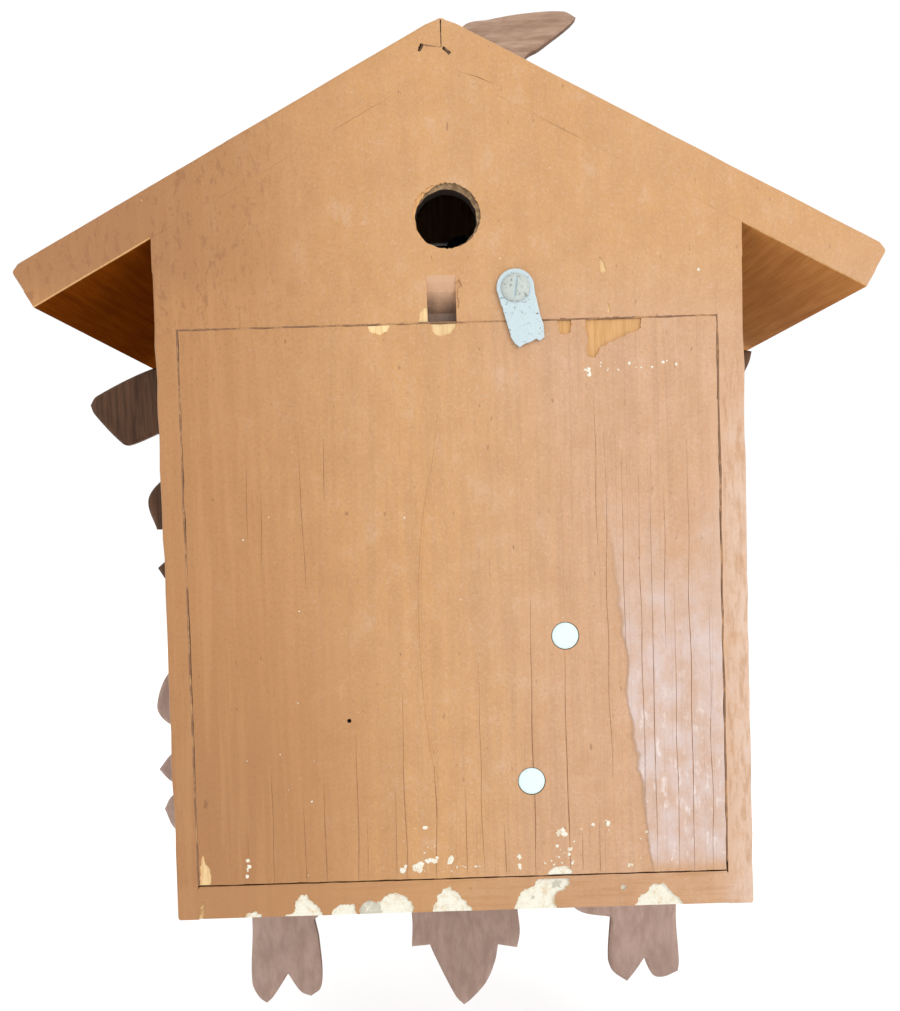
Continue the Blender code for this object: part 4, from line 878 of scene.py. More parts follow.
def build_gable():
    left, right = -INNERS[-1] - 0.02, INNERS[1] + 0.02
    low = GABLE_BOTTOM
    top = [(right, low), (right, roof_line(right)), (0.0, roof_line(0.0)), (left, roof_line(left))]
    edge = worn_run([(left, low), (right, low)], 1.5, 0.10, 6.0, 3.0)
    edge = sorted(point for point in edge if point[1] < low + 0.3)
    hole = []
    for x, y in ring(1.0, 96):
        wear = 1.0 + noise.noise(Vector((x * 3.4, y * 3.4, 4.0))) * 0.05
        hole.append((HOLE_ACROSS + HOLE_WIDE * x * wear, HOLE_UP + HOLE_TALL * y * wear))
    work = prism_mesh([edge + top[1:], hole], *GABLE_DEEP)

    def by_hole(across, up):
        return math.hypot(across, up - HANG_UP) < 8.0

    soften(work, 0.5, lambda x, up, deep: deep < 0.2 and by_hole(x, up))
    soften(work, 0.22, lambda x, up, deep: deep < 0.1 and up < low + 0.3)
    made = to_object("case_gable", work, ["paint", "inside", "pit"])
    # The walls of the hanging hole take the pit look, painted shade.
    facing(made, [(0, rear_paint), (2, lambda spot, normal: by_hole(*spot[:2]))], 1)
    # The hanging nail has worn the rim of the hole, most of all at its top and on one side.
    worn = [
        pocket(ring(7.25, 44, (-0.55, HOLE_UP + 0.60)), "rim", 1.1, 41.0, 0.3),
        pocket(ring(6.9, 44, (0.75, HOLE_UP + 0.85)), "bare", 0.35, 44.0, 0.55),
    ]
    # The finger notch is a hollow that slopes in towards the door. Its points are (height, deep).
    slope = [(-2.0, -3.0), (12.0, -3.0), (10.6, -0.02), (9.0, 0.35), (7.0, 1.3), (4.6, 3.1), (2.6, 4.4)]
    slope.append((-2.0, 4.8))
    slope = [(low + high, deep) for high, deep in slope]
    notch = flat("notch", slope, -1.7, 4.9, "notch", "across")
    cut(made, *pockets(GABLE_CHIPS, 20.0), *worn, notch)
    to_case(made, "gable_board")


CUCKOO_OPENING = ((-13.0, 146.0), (12.5, 174.0))


def build_front():
    eave = roof_line(OUTER)
    outline = [(-OUTER, 0.0), (OUTER, 0.0), (OUTER, eave), (0.0, roof_line(0.0)), (-OUTER, eave)]
    opening = rectangle(*CUCKOO_OPENING)
    hand_hole = ring(3.6, 32, (0.0, DIAL_UP), 0.05)
    run = worn_run(outline, 5.0, 0.08, 9.0)
    work = prism_mesh([run, opening, hand_hole], SIDE_DEEP[1] + 0.02, FRONT_FAR)
    soften(work, 0.5, lambda x, up, deep: deep > FRONT_FAR - 0.2 or abs(x) > OUTER - 0.5)
    made = to_object("case_front", work, ["stain", "inside"])
    facing(made, [(1, lambda spot, normal: normal.y > 0.5)], 0)
    to_case(made, "front_board")


# The rusty pit round each leg of the staple, on the left and on the right roof board.
STAPLE_PITS = (
    [(-0.2, 196.9), (-1.8, 195.5), (-2.2, 196.1), (-0.7, 197.4), (-0.3, 197.6)],
    [(4.8, 196.4), (5.3, 196.6), (4.7, 198.3), (4.1, 198.2), (4.3, 197.5)],
)


def build_staple():
    """The thin staple across the mitre: its rusty legs in their pits, and a crown under the paint."""
    for (name, _), pit, start in zip(SIDES, STAPLE_PITS, (1, 0)):
        (x0, up0), (x1, up1) = pit[start], pit[3]
        points = [(x0, up0 + 0.3, 0.9), (x0, up0 + 0.3, 0.2), (x1, up1 - 0.2, 0.1)]
        settle(tube("staple_end_" + name, points, 0.24, "rust"), "case", "steel")
    points = [(4.2, 198.0, 0.08), (2.0, 197.6, 0.05), (-0.4, 197.3, 0.08)]
    settle(tube("staple_crown", points, 0.15, "seam"), "case", "steel", "ridge_staple")


def build_roof():
    apex = ROOF_UP[1]
    tilt = math.atan(ROOF_FALL)
    end_in, end_down = ROOF_THICK * math.sin(tilt), ROOF_THICK * math.cos(tilt)
    for (side, sign), leg in zip(SIDES, STAPLE_PITS):
        half = max(abs(end) for end in span("roof_board_" + side, "across"))
        eave_top = apex + 0.08 - half * ROOF_FALL
        outline = [
            (0.0, roof_line(0.0)),
            (0.0, apex - 0.80),
            (1.2, apex - 0.95),
            (2.3, apex - 1.36),
            (3.6, apex + 0.08 - 3.6 * ROOF_FALL),
            (half * 0.985, eave_top + 1.2),
            (half, eave_top - 0.7),
            (half - end_in, eave_top - end_down),
        ]
        run = worn_run([(sign * x, up) for x, up in outline], 5.0, 0.05, 12.0 + sign, 11.0)
        work = prism_mesh([run], *ROOF_DEEP)
        soften(work, 0.7, lambda x, up, deep: abs(x) > 1.0 and up > roof_line(x) + 3.0)

        def lower_edge(x, up, deep):
            return abs(x) > OUTER + 0.6 and deep < 0.5 and up < roof_line(x) + 2.0

        soften(work, 0.3, lower_edge, index=2)
        soffit = "soffit_lit" if sign < 0 else "soffit_shade"
        made = to_object("roof_" + side, work, ["paint", "roof_stain", "bare", soffit])
        for face in made.data.polygons:
            if face.material_index != 2:
                under = face.normal.z < -0.3 and sign * face.normal.x < 0.0
                face.material_index = 0 if face.normal.y > 0.3 else 3 if under else 1
        mitre = [(-0.05, apex - 7.2), (0.13, apex - 7.2), (0.13, apex - 1.1), (-0.13, apex - 1.1)]
        cutters = [flat("leg_hole", worn_run(leg, 0.3, 0.12, 2.0, 0.4), -1.0, 1.4, "seam")]
        cutters.append(pocket(mitre, "seam", 0.8, 3.0, 0.05))
        if side == "left":
            crack = [(-3.0, 192.15), (-8.0, 190.55), (-14.0, 187.85), (-8.1, 190.4)]
            cutters.append(pocket(crack, "crack", 0.25, 9.0, 0.02))
        cut(made, *cutters)
        settle(made, "case", "roof_wood", "roof_board_" + side)


# ---------------------------------------------------------------- back door

DOOR_CHIPS = [
    ("bare", 0.45, [(-30.9, 137.0), (-43.6, 137.0), (-43.6, 133.4), (-40.0, 131.9), (-36.9, 130.6),
                    (-34.2, 129.2), (-33.1, 127.0), (-31.1, 127.2), (-31.4, 131.0)]),
    ("bare", 0.40, [(-24.5, 137.0), (-28.0, 137.0), (-27.6, 132.8), (-25.0, 132.4)]),
    ("fresh", 0.30, [(4.4, 137.0), (-1.6, 137.0), (-1.4, 134.6), (-0.2, 133.2), (1.4, 132.9), (3.0, 133.0),
                     (3.9, 134.2)]),
    ("fresh", 0.20, [(20.0, 137.0), (13.4, 137.0), (14.0, 134.4), (15.6, 133.4), (17.8, 134.0)]),
    ("fresh", 0.20, [(8.6, 137.0), (6.8, 137.0), (7.6, 134.4)]),
    ("fresh", 0.30, [(61.5, 7.0), (58.9, 7.0), (58.9, 9.6), (59.3, 12.2), (60.1, 13.0), (60.4, 15.2),
                     (60.9, 14.6), (61.4, 12.0)]),
    ("cream", 0.30, [(-18.6, 6.0), (-19.4, 8.8), (-21.0, 9.9), (-24.0, 10.0), (-24.9, 8.6), (-24.6, 6.0)]),
]
# Spattered specks: (across, up, spread across, spread up, count, size).
SPATTER = [
    (-43.0, 124.9, 9.0, 1.2, 14, 0.36),
    (-31.0, 123.6, 0.7, 1.0, 5, 0.50),
    (14.2, 10.4, 0.6, 1.2, 9, 0.62),
    (11.2, 10.8, 1.0, 0.9, 11, 0.78),
    (7.8, 12.4, 1.5, 0.5, 9, 0.66),
    (3.2, 12.3, 0.3, 0.3, 3, 0.95),
    (1.0, 10.6, 4.6, 0.2, 14, 0.24),
    (8.8, 19.8, 0.2, 0.2, 1, 0.65),
    (50.3, 11.0, 0.35, 2.6, 7, 0.50),
    (-12.7, 11.0, 0.25, 1.7, 11, 0.46),
    (-22.6, 17.8, 0.9, 0.6, 9, 0.68),
    (-27.4, 18.5, 0.2, 0.2, 1, 0.55),
    (-29.9, 19.5, 0.4, 0.3, 2, 0.65),
    (-33.0, 20.0, 1.2, 0.6, 6, 0.50),
    (-24.6, 13.2, 1.0, 2.6, 9, 0.42),
    (-22.4, 12.2, 2.0, 1.8, 8, 0.30),
    (-21.8, 15.0, 0.3, 0.3, 1, 0.50),
    (-38.6, 9.6, 0.8, 0.3, 3, 0.45),
    (-19.4, 10.8, 1.4, 0.8, 6, 0.34),
    (6.0, 12.0, 9.0, 4.0, 12, 0.20),
    (-40.0, 14.0, 9.0, 6.0, 8, 0.26),
    (44.0, 60.0, 10.0, 60.0, 9, 0.24),
    (0.0, 70.0, 50.0, 55.0, 16, 0.18),
]
# Cracks along the grain: (across, lower end, upper end, width).
CRACKS = [
    (50.1, 14.0, 20.0, 0.10), (44.2, 8.2, 34.0, 0.16), (37.0, 8.2, 26.0, 0.15), (32.1, 8.4, 31.0, 0.20),
    (24.6, 8.2, 42.0, 0.17), (22.4, 8.2, 24.0, 0.10), (15.8, 8.2, 30.0, 0.10), (13.5, 8.4, 52.0, 0.15),
    (6.4, 8.2, 38.0, 0.22), (-0.5, 8.2, 28.0, 0.12), (-4.4, 9.0, 60.0, 0.10), (-9.5, 8.4, 20.0, 0.16),
    (-16.5, 8.2, 72.0, 0.22), (-24.4, 8.2, 60.0, 0.22), (-27.5, 9.0, 18.0, 0.12), (-31.3, 8.4, 20.0, 0.18),
    (-34.5, 30.0, 110.0, 0.12), (-38.3, 60.0, 106.0, 0.12), (-42.2, 24.0, 100.0, 0.15),
    (-44.8, 9.0, 104.0, 0.15), (-49.9, 8.2, 75.0, 0.14), (-53.4, 8.4, 108.0, 0.17),
    (-57.8, 8.2, 70.0, 0.13), (47.3, 88.0, 106.0, 0.10), (44.4, 82.0, 98.0, 0.10),
    (34.9, 76.0, 112.0, 0.10), (29.6, 96.0, 112.0, 0.10), (-32.5, 84.0, 120.0, 0.11),
    (-47.9, 60.0, 98.0, 0.11),
]
PAINT_RIDGE = [(3.0, 115.0), (4.6, 104.0), (6.6, 95.0), (8.0, 84.0), (8.7, 70.0), (8.4, 55.0), (7.6, 44.0),
               (6.6, 36.0), (5.2, 31.0)]
NAIL_PIT = (25.7, 45.4)


def rivet_place(name):
    """Centre and radius of one of the painted rivets that hold the gong."""
    across, up = span("gong_rivet_" + name, "across"), span("gong_rivet_" + name, "up")
    return (sum(across) / 2, sum(up) / 2), (across[1] - across[0]) / 2


RIVETS = {name: rivet_place(name) for name in ("lower", "upper")}


def build_door():
    outline = rectangle((DOOR_ACROSS[0], DOOR_UP[0]), (DOOR_ACROSS[1], DOOR_UP[1]))
    run = [(x * 0.9988, up) for x, up in worn_run(outline, 1.8, 0.09, 15.0, 4.0)]
    work = prism_mesh([run], *DOOR_DEEP)
    soften(work, 0.20, lambda x, up, deep: deep < 0.1)
    made = to_object("door_board", work, ["door_paint", "inside"])
    facing(made, [(0, rear_paint)], 1)
    cutters = pockets(DOOR_CHIPS, 60.0) + [splits(CRACKS)]
    # The nail pit's walls take the pit look, painted shade.
    cutters.append(flat("nail_pit", ring(0.5, 10, NAIL_PIT), -1.0, 1.2, "pit"))
    for centre, radius in RIVETS.values():
        cutters.append(flat("rivet_pit", ring(radius + 0.12, 40, centre), -1.0, 1.0, "seam"))
    cut(made, *cutters)
    settle(made, "back_door", "painted_wood", "back_door")

    random.seed(5)
    work = bmesh.new()
    for across, up, wide, tall, count, size in SPATTER:
        for _ in range(count):
            x = across + random.uniform(-wide, wide)
            y = up + random.uniform(-tall, tall)
            if y > DOOR_UP[0] + 1.4:
                speck(work, x, y, size * random.uniform(0.35, 1.3))
    settle(to_object("door_specks", work, ["cream"]), "back_door", "painted_wood", smooth=60.0)

    # A ridge of paint, of which the part that stands proud fades out towards both ends.
    ridge = tube("door_paint_ridge", [(x, up, 0.16) for x, up in PAINT_RIDGE], 0.34, "door_paint", 6)
    for vertex in ridge.data.vertices:
        up = clock_spot(vertex.co)[1]
        fade = min(1.0, (117.0 - up) / 14.0, (up - 29.0) / 10.0)
        vertex.co.y = min(vertex.co.y, 0.02 * MM) + (vertex.co.y > 0) * vertex.co.y * 0.9 * max(fade, 0.0)
    settle(ridge, "back_door", "painted_wood")


def splits(cracks):
    """One helper solid with a thin wandering sliver for each crack."""
    work = bmesh.new()
    for number, (across, low, high, width) in enumerate(cracks):
        count = max(4, round((high - low) / 2.5))
        left, right = [], []
        for index in range(count + 1):
            up = low + (high - low) * index / count
            sway = 0.5 * noise.noise(Vector((up / 16.0, number * 3.1, 0.0)))
            jag = 1.0 + 0.8 * noise.noise(Vector((up / 2.2, number * 5.3, 7.0)))
            half = width / 2 * jag * min(1.0, 0.3 + 4.0 * index / count, 0.2 + 1.6 * (1.0 - index / count))
            left.append((across + sway - half, up))
            right.append((across + sway + half, up))
        sliver = prism_mesh([left + right[::-1]], -0.5, 0.10)
        mesh = bpy.data.meshes.new("sliver")
        sliver.to_mesh(mesh)
        sliver.free()
        work.from_mesh(mesh)
        bpy.data.meshes.remove(mesh)
    return to_object("splits", work, ["crack"])


def speck(work, x, y, size):
    """A flat irregular crumb on the door's rear face."""
    points = []
    for px, py in ring(size, 7):
        reach = random.uniform(0.6, 1.2)
        points.append(work.verts.new(place(x + px * reach, y + py * reach, 0.05)))
    inner = []
    for point in points:
        inner.append(work.verts.new(place(x, y, 0.0).lerp(point.co, 0.7) + Vector((0.0, 0.12 * MM, 0.0))))
    top = work.verts.new(place(x, y, -0.26 * min(size, 0.6)))
    bottom = work.verts.new(place(x, y, 0.3))
    count = len(points)
    for index in range(count):
        after = (index + 1) % count
        work.faces.new([points[index], points[after], inner[after], inner[index]])
        work.faces.new([inner[index], inner[after], top])
        work.faces.new([points[after], points[index], bottom])


def build_seam_paint():
    """Paint that has run into the seam round the door, on the case's side of it."""
    (left, right), (low, high) = DOOR_ACROSS, DOOR_UP
    strips = [
        rectangle((right + 0.02, low), (INNERS[1] + 0.1, GABLE_BOTTOM)),
        rectangle((-INNERS[-1] - 0.1, low + 2.0), (left - 0.02, GABLE_BOTTOM)),
        rectangle((left, high + 0.04), (right, GABLE_BOTTOM + 0.1)),
        rectangle((left, BASE_TOP - 0.1), (right, low - 0.35)),
    ]
    for number, strip in enumerate(strips):
        run = worn_run(strip, 1.2, 0.05, 50.0 + number, 2.5)
        to_case(flat("seam_paint_%d" % number, run, 0.06, 1.2, "seam"))


def build_joint_paint():
    """Paint bridges the joints between the gable board and the side panels."""
    for side, sign in SIDES:
        middle = sign * INNERS[sign]
        run = rectangle((middle - 0.35, GABLE_BOTTOM + 0.1), (middle + 0.35, roof_line(middle) - 0.3))
        to_case(flat("joint_paint_" + side, run, -0.02, 0.05, "paint"))


def build_door_fittings():
    for name, (centre, radius) in RIVETS.items():
        profile = [(0.0, 1.6), (radius - 0.1, 1.6), (radius, 0.5), (radius - 0.05, 0.16)]
        profile += [(radius - 0.35, -0.02), (radius * 0.6, -0.12), (0.0, -0.16)]
        made = lathe("rivet_" + name, profile, (*centre, 0.0), "rivet", steps=40)
        settle(made, "back_door", "rivet_paint", "gong_rivet_" + name)


# ---------------------------------------------------------------- latch

LATCH_AT = (-15.2, 143.1)
SLOT_TURN = math.radians(8.0)


def build_latch():
    x0, up0 = LATCH_AT
    turns = [math.radians(16 * step - 8) for step in range(13)]
    outline = [(4.3 * math.cos(turn), 4.3 * math.sin(turn)) for turn in turns]
    outline += [(-5.4, -6.0), (-6.2, -8.6), (-6.35, -11.3), (-5.2, -12.1), (-4.4, -11.6), (-3.4, -12.2)]
    outline += [(-2.0, -12.6), (-0.6, -13.5), (0.4, -12.6), (1.3, -11.2), (2.2, -7.6)]
    run = worn_run([(x0 + x, up0 + y) for x, y in outline], 0.8, 0.10, 2.0, 1.2)
    work = soften(prism_mesh([run], -1.05, -0.35), 0.16)
    settle(to_object("latch_plate", work, ["zinc"]), "door_latch", "zinc", "door_latch")
    profile = [(0.0, 3.0), (1.0, 3.0), (1.0, -1.1), (3.1, -1.1), (3.25, -1.35), (3.1, -1.6), (2.6, -1.85)]
    profile += [(1.7, -2.05), (0.0, -2.15)]
    screw = lathe("latch_screw_head", profile, (x0, up0, 0.0), "screw", steps=36)
    side, along = (math.cos(SLOT_TURN), math.sin(SLOT_TURN)), (-math.sin(SLOT_TURN), math.cos(SLOT_TURN))
    slot = rectangle((-0.24, -2.4), (0.24, 2.4))
    run = [(x0 + x * side[0] + y * along[0], up0 + x * side[1] + y * along[1]) for x, y in slot]
    cut(screw, flat("slot", run, -3.0, -1.72, "zinc"))
    settle(screw, "case", "zinc", "latch_screw", smooth=40.0)


build_sides()
build_base()
build_gable()
build_front()
build_roof()
build_staple()
build_door()
build_seam_paint()
build_joint_paint()
build_door_fittings()
build_latch()

# ---------------------------------------------------------------- looks of the CAD nodes that stay

SLOT_LOOK = {
    "carved_wood": "carved",
    "inner_wood": "beech",
    "dial_wood": "dial",
    "hand_plastic": "ivory",
    "zinc": "zinc",
    "rivet_paint": "rivet",
    "steel": "steel",
    "brass": "brass",
    "gong_iron": "iron",
    "bird_paint": "bird",
    "bellows_cloth": "cloth",
    "painted_wood": "paint",
    "roof_wood": "paint",
}
for node, slot in SLOT_OF.items():
    materials = NODES[node].data.materials
    for index in range(len(materials)):
        materials[index] = LOOK[SLOT_LOOK[slot]]

# ---------------------------------------------------------------- pieces refined from their CAD shape


def body_of(node):
    """The one body that a CAD node rides on."""
    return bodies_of(NODES[node])[0]


def refined(node, look, width, smooth, rounds=0):
    """A CAD piece with softened edges and its own material, for pieces whose shape is already right."""
    work = bmesh.new()
    work.from_mesh(NODES[node].data)
    bmesh.ops.remove_doubles(work, verts=work.verts, dist=0.004 * MM)
    bmesh.ops.dissolve_limit(work, angle_limit=0.01, verts=[], edges=work.edges)
    if width:
        soften(work, width, limit=50.0)
    made = to_object(node + "_detail", work, [look])
    if rounds:
        change = made.modifiers.new("round", "SUBSURF")
        change.levels = change.render_levels = rounds
        bake_modifiers(made)
    return settle(made, body_of(node), SLOT_OF[node], node, smooth=smooth)


# ---------------------------------------------------------------- carvings


def distance_to(spots, strokes, closed=False):
    """Distance in millimetres from each point to the nearest of the strokes."""
    nearest = numpy.full(len(spots), 1e9)
    for stroke in strokes:
        ends = stroke[1:] + stroke[:1] if closed else stroke[1:]
        for first, second in zip(stroke, ends):
            start, along = numpy.array(first), numpy.array(second) - numpy.array(first)
            share = ((spots - start) @ along / max(along @ along, 1e-9)).clip(0.0, 1.0)
            gap = spots - start - share[:, None] * along
            nearest = numpy.minimum(nearest, numpy.hypot(gap[:, 0], gap[:, 1]))
    return nearest


LOBE_REACH, LOBE_POWER = 2.4, 1.3


def relief(node, looks, strokes, step=0.9, depth=4.2, rear_depth=0.0):
    """A carved plate on a CAD plate's outline: puffed lobes between V-shaped strokes."""
    near, far = span(node, "deep")
    outline = curved(rim_of(node), step)
    xs, ups = zip(*outline)
    rows = numpy.arange(min(ups), max(ups), step * 0.87)
    places = numpy.arange(min(xs), max(xs), step)
    grid = numpy.array([(x + (row % 2) * step / 2, up) for row, up in enumerate(rows) for x in places])
    grid = grid[distance_to(grid, [outline], True) > step * 0.5]
    spots, faces = fill_outline([outline], grid.tolist())
    points = numpy.array(spots)
    edge = distance_to(points, [outline], True)
    stroke = distance_to(points, strokes)
    puff = 1.0 - numpy.exp(-(numpy.minimum(edge + 0.5, stroke + 0.15) / LOBE_REACH) ** LOBE_POWER)
    ripple = numpy.array([noise.noise(Vector((x / 5.0, up / 5.0, 3.0))) for x, up in spots])
    drop = 0.15 + depth * (1.0 - puff) + 0.9 * numpy.exp(-edge / 0.9) + 0.35 * (ripple + 0.6)
    groove = rear_depth * numpy.exp(-((stroke / 0.6) ** 2)) + 0.5 * numpy.exp(-edge / 0.35)
    rear = [(x, up, near + cut_in) for (x, up), cut_in in zip(spots, groove)]
    front = [(x, up, far - fall) for (x, up), fall in zip(spots, drop)]
    made = to_object("carved_" + node, slab(rear, front, faces, place), looks)
    puffs = made.data.attributes.new("puff", "FLOAT", "POINT")
    puffs.data.foreach_set("value", numpy.tile(puff, 2).astype(numpy.float32))
    behind, beside = (lambda spot, normal: normal.y > 0.5), (lambda spot, normal: abs(normal.y) < 0.2)
    facing(made, [(0, behind), (2, beside)], 1)
    return settle(made, "case", "carved_wood", node, smooth=62.0)


# The main vein and the side veins of each leaf on one side; the other side's are their mirror images.
UPPER_VEINS = [
    [(36.0, 97.0), (52.0, 104.0), (70.0, 112.0), (90.0, 124.0), (105.0, 129.0)],
    [(46.0, 101.0), (50.0, 114.0), (51.0, 131.0)],
    [(58.0, 107.0), (66.0, 122.0), (74.0, 140.0)],
    [(74.0, 114.5), (84.0, 124.0), (90.0, 136.0)],
    [(66.0, 110.0), (78.0, 103.0), (91.0, 99.0)],
    [(56.0, 105.0), (70.0, 90.0), (86.0, 75.0)],
    [(47.0, 101.0), (54.0, 93.0), (60.0, 87.0)],
]
LOWER_VEINS = [
    [(33.0, 53.0), (48.0, 40.0), (55.0, 20.0), (57.0, -5.0), (56.0, -30.0), (56.5, -46.0)],
    [(44.0, 44.0), (58.0, 50.0), (72.0, 55.0)],
    [(50.0, 36.0), (68.0, 38.0), (89.0, 38.0)],
    [(54.0, 24.0), (72.0, 17.0), (91.0, 15.5)],
    [(56.0, 8.0), (72.0, 3.0), (90.0, 1.5)],
    [(57.0, -8.0), (66.0, -12.0), (74.0, -13.0)],
    [(54.0, 22.0), (42.0, 20.0), (29.0, 22.0)],
    [(56.0, 4.0), (44.0, 0.0), (31.0, 2.0)],
    [(57.0, -14.0), (44.0, -19.0), (34.0, -23.0)],
    [(56.0, -28.0), (62.0, -42.0), (64.0, -56.0)],
    [(56.0, -28.0), (50.0, -42.0), (48.5, -55.0)],
]
BOTTOM_VEINS = [
    [(0.0, 41.0), (0.5, 0.0), (0.3, -60.0)],
    [(0.4, 26.0), (10.0, 20.0), (20.0, 20.0)],
    [(0.4, 8.0), (10.0, 0.0), (22.5, -2.0)],
    [(0.5, -10.0), (8.0, -18.0), (17.0, -20.0)],
    [(0.4, -26.0), (8.0, -34.0), (15.0, -41.0)],
    [(0.4, 26.0), (-9.0, 20.0), (-18.0, 20.0)],
    [(0.4, 8.0), (-9.0, 0.0), (-20.5, -2.0)],
    [(0.5, -10.0), (-8.0, -18.0), (-18.0, -20.0)],
    [(0.4, -26.0), (-8.0, -34.0), (-16.0, -42.0)],
]
BIRD_STROKES = [
    [(-9.0, 229.0), (-20.0, 238.0), (-32.0, 244.5), (-42.0, 248.6)],
    [(-12.0, 224.0), (-21.0, 233.0), (-29.0, 239.5)],
    [(-5.0, 233.0), (-13.0, 242.0), (-22.0, 248.0)],
    [(-7.0, 231.0), (-17.0, 240.5), (-31.0, 248.0)],
    [(18.0, 213.0), (12.0, 221.0), (0.0, 225.0), (-13.0, 221.0)],
    [(13.0, 211.0), (5.0, 217.0), (-8.0, 218.0)],
    [(8.0, 209.0), (0.0, 212.5), (-10.0, 212.0)],
    [(23.0, 213.0), (26.0, 219.0), (22.0, 226.0)],
    [(37.0, 221.2), (43.5, 218.8)],
    [(-8.0, 207.0), (-24.0, 204.0), (-36.0, 201.0)],
    [(-6.0, 205.0), (-22.0, 195.5), (-39.0, 185.0)],
    [(12.0, 206.0), (25.0, 204.5), (36.0, 204.5)],
    [(8.0, 204.0), (24.0, 195.5), (39.0, 185.5)],
]


def mirrored(strokes):
    return [[(-x, up) for x, up in stroke] for stroke in strokes]


def build_carvings():
    # The lower leaves' and the bird's rears are painted lighter as painted light; the upper leaves' rears
    # carry painted shade.
    shade, pale, tail = ([rear, "carved", "edge"] for rear in ("sawn_shade", "sawn", "tail"))
    relief("upper_leaf_right", shade, UPPER_VEINS)
    relief("upper_leaf_left", shade, mirrored(UPPER_VEINS))
    relief("lower_leaf_right", pale, LOWER_VEINS)
    relief("lower_leaf_left", pale, mirrored(LOWER_VEINS))
    relief("bottom_leaf", pale, BOTTOM_VEINS)
    relief("top_bird", tail, BIRD_STROKES, 0.9, 3.4, 0.45)
    eye = lathe("top_bird_eye", bead(1.1, 8), (32.3, 223.6, 118.4), "eye")
    settle(eye, "case", "carved_wood")


def bead(radius, steps):
    """Profile of a ball for lathe, from its rear to its front."""
    turns = [math.pi * step / steps for step in range(steps + 1)]
    return [(radius * math.sin(turn), -radius * math.cos(turn)) for turn in turns]


# ---------------------------------------------------------------- dial and hands

NUMERALS = ("XII", "I", "II", "III", "IIII", "V", "VI", "VII", "VIII", "IX", "X", "XI")
NUMERAL_LOW, NUMERAL_HIGH = 19.2, 24.6
# Each letter's width and its strokes: (lower end, upper end, half width), sideways from its middle.
LETTERS = {
    "I": (1.25, [(0.0, 0.0, 0.36)]),
    "V": (2.7, [(0.0, -1.0, 0.36), (0.0, 1.0, 0.20)]),
    "X": (2.7, [(1.0, -1.0, 0.36), (-1.0, 1.0, 0.20)]),
}
SERIF = 0.21


def build_dial():
    rim = max(span("dial", "across"))
    near, face = CARVING_NEAR + 0.1, DIAL_FACE
    bore = 3.9
    profile = [(bore, near), (rim, near), (rim, near + 2.2), (rim - 0.5, near + 3.1)]
    profile += [(rim - 1.5, face - 0.25), (rim - 2.6, face), (rim - 3.5, face - 0.35)]
    profile += [(rim - 4.0, face - 0.9), (18.2, face - 0.9), (17.6, face - 0.45), (16.8, face - 0.25)]
    profile += [(16.0, face - 0.5), (15.2, face - 1.0), (7.0, face - 0.8), (6.2, face - 0.3)]
    profile += [(5.2, face - 0.1), (bore, face - 0.4), (bore, near)]
    disc = lathe("dial_disc", profile, (0.0, DIAL_UP, 0.0), "dial", steps=96, smooth=30.0)
    settle(disc, "case", "dial_wood", "dial")
    work = bmesh.new()
    for hour, letters in enumerate(NUMERALS):
        turn = math.tau * hour / 12
        width = sum(LETTERS[letter][0] for letter in letters)
        left = -width / 2
        for level in (NUMERAL_LOW + SERIF, NUMERAL_HIGH - SERIF):
            bar(work, (left, level), (left + width, level), SERIF, turn)
        for letter in letters:
            wide, strokes = LETTERS[letter]
            middle = left + wide / 2
            for low, high, half in strokes:
                bar(work, (middle + low, NUMERAL_LOW), (middle + high, NUMERAL_HIGH), half, turn)
            left += wide
    settle(to_object("dial_numerals", work, ["ivory"]), "case", "dial_wood")


def bar(work, start, end, half, turn):
    """One raised stroke of a numeral. Its points are (sideways, outwards), turned to its hour."""
    start, end = Vector(start), Vector(end)
    side = (end - start).normalized().orthogonal() * half
    corners = [start + side, start - side, end - side, end + side]
    middle = (start + end) / 2
    layers = []
    for share, rise in ((1.0, -1.0), (1.0, -0.15), (0.895, 0.05)):
        layer = []
        for corner in corners:
            spot = middle + (corner - middle) * share
            across = spot.x * math.cos(turn) + spot.y * math.sin(turn)
            up = -spot.x * math.sin(turn) + spot.y * math.cos(turn)
            layer.append(work.verts.new(place(across, DIAL_UP + up, DIAL_FACE + rise)))
        layers.append(layer)
    stack(work, layers)


def build_hands():
    refined("hour_hand", "ivory", 0.22, PIECE_SMOOTH)
    refined("minute_hand", "ivory", 0.22, PIECE_SMOOTH)
    near, far = span("hand_nut", "deep")
    wide = max(span("hand_nut", "across"))
    profile = [(0.0, near), (0.8, near), (0.8, far - 1.6), (wide, far - 1.6), (wide, far - 1.0)]
    profile += [(wide * 0.86, far - 0.5), (wide * 0.5, far - 0.12), (0.0, far)]
    nut = lathe("hand_nut_turned", profile, (0.0, DIAL_UP, 0.0), "brass", steps=32)
    settle(nut, body_of("hand_nut"), "brass", "hand_nut")


# ---------------------------------------------------------------- cuckoo


def build_cuckoo_door():
    across, up, deep = (span("cuckoo_door", axis) for axis in ("across", "up", "deep"))

    def inset(gap):
        return rectangle((across[0] + gap, up[0] + gap), (across[1] - gap, up[1] - gap))

    work = soften(prism_mesh([inset(0.0)], *deep), 0.5, lambda x, high, far: far > deep[1] - 0.2)
    made = to_object("cuckoo_door_leaf", work, ["carved"])
    # The grooves take the pit look, painted shade.
    grooves = []
    for gap, width in ((2.6, 0.7), (5.2, 0.5)):
        work = prism_mesh([inset(gap), inset(gap + width)], deep[1] - 0.45, deep[1] + 1.0)
        grooves.append(to_object("groove", work, ["pit"]))
    cut(made, *grooves)
    settle(made, "cuckoo_door", "carved_wood", "cuckoo_door")


def ball(work, centre, radii, segments=28):
    """An ellipsoid of (ahead, up, aside) radii in clock millimetres, turned as the bird is."""
    made = bmesh.ops.create_uvsphere(work, u_segments=segments, v_segments=segments // 2, radius=1.0)
    for vertex in made["verts"]:
        ahead, aside, up = vertex.co.x * radii[0], vertex.co.y * radii[2], vertex.co.z * radii[1]
        vertex.co = centre + bird_frame(ahead, aside, up)


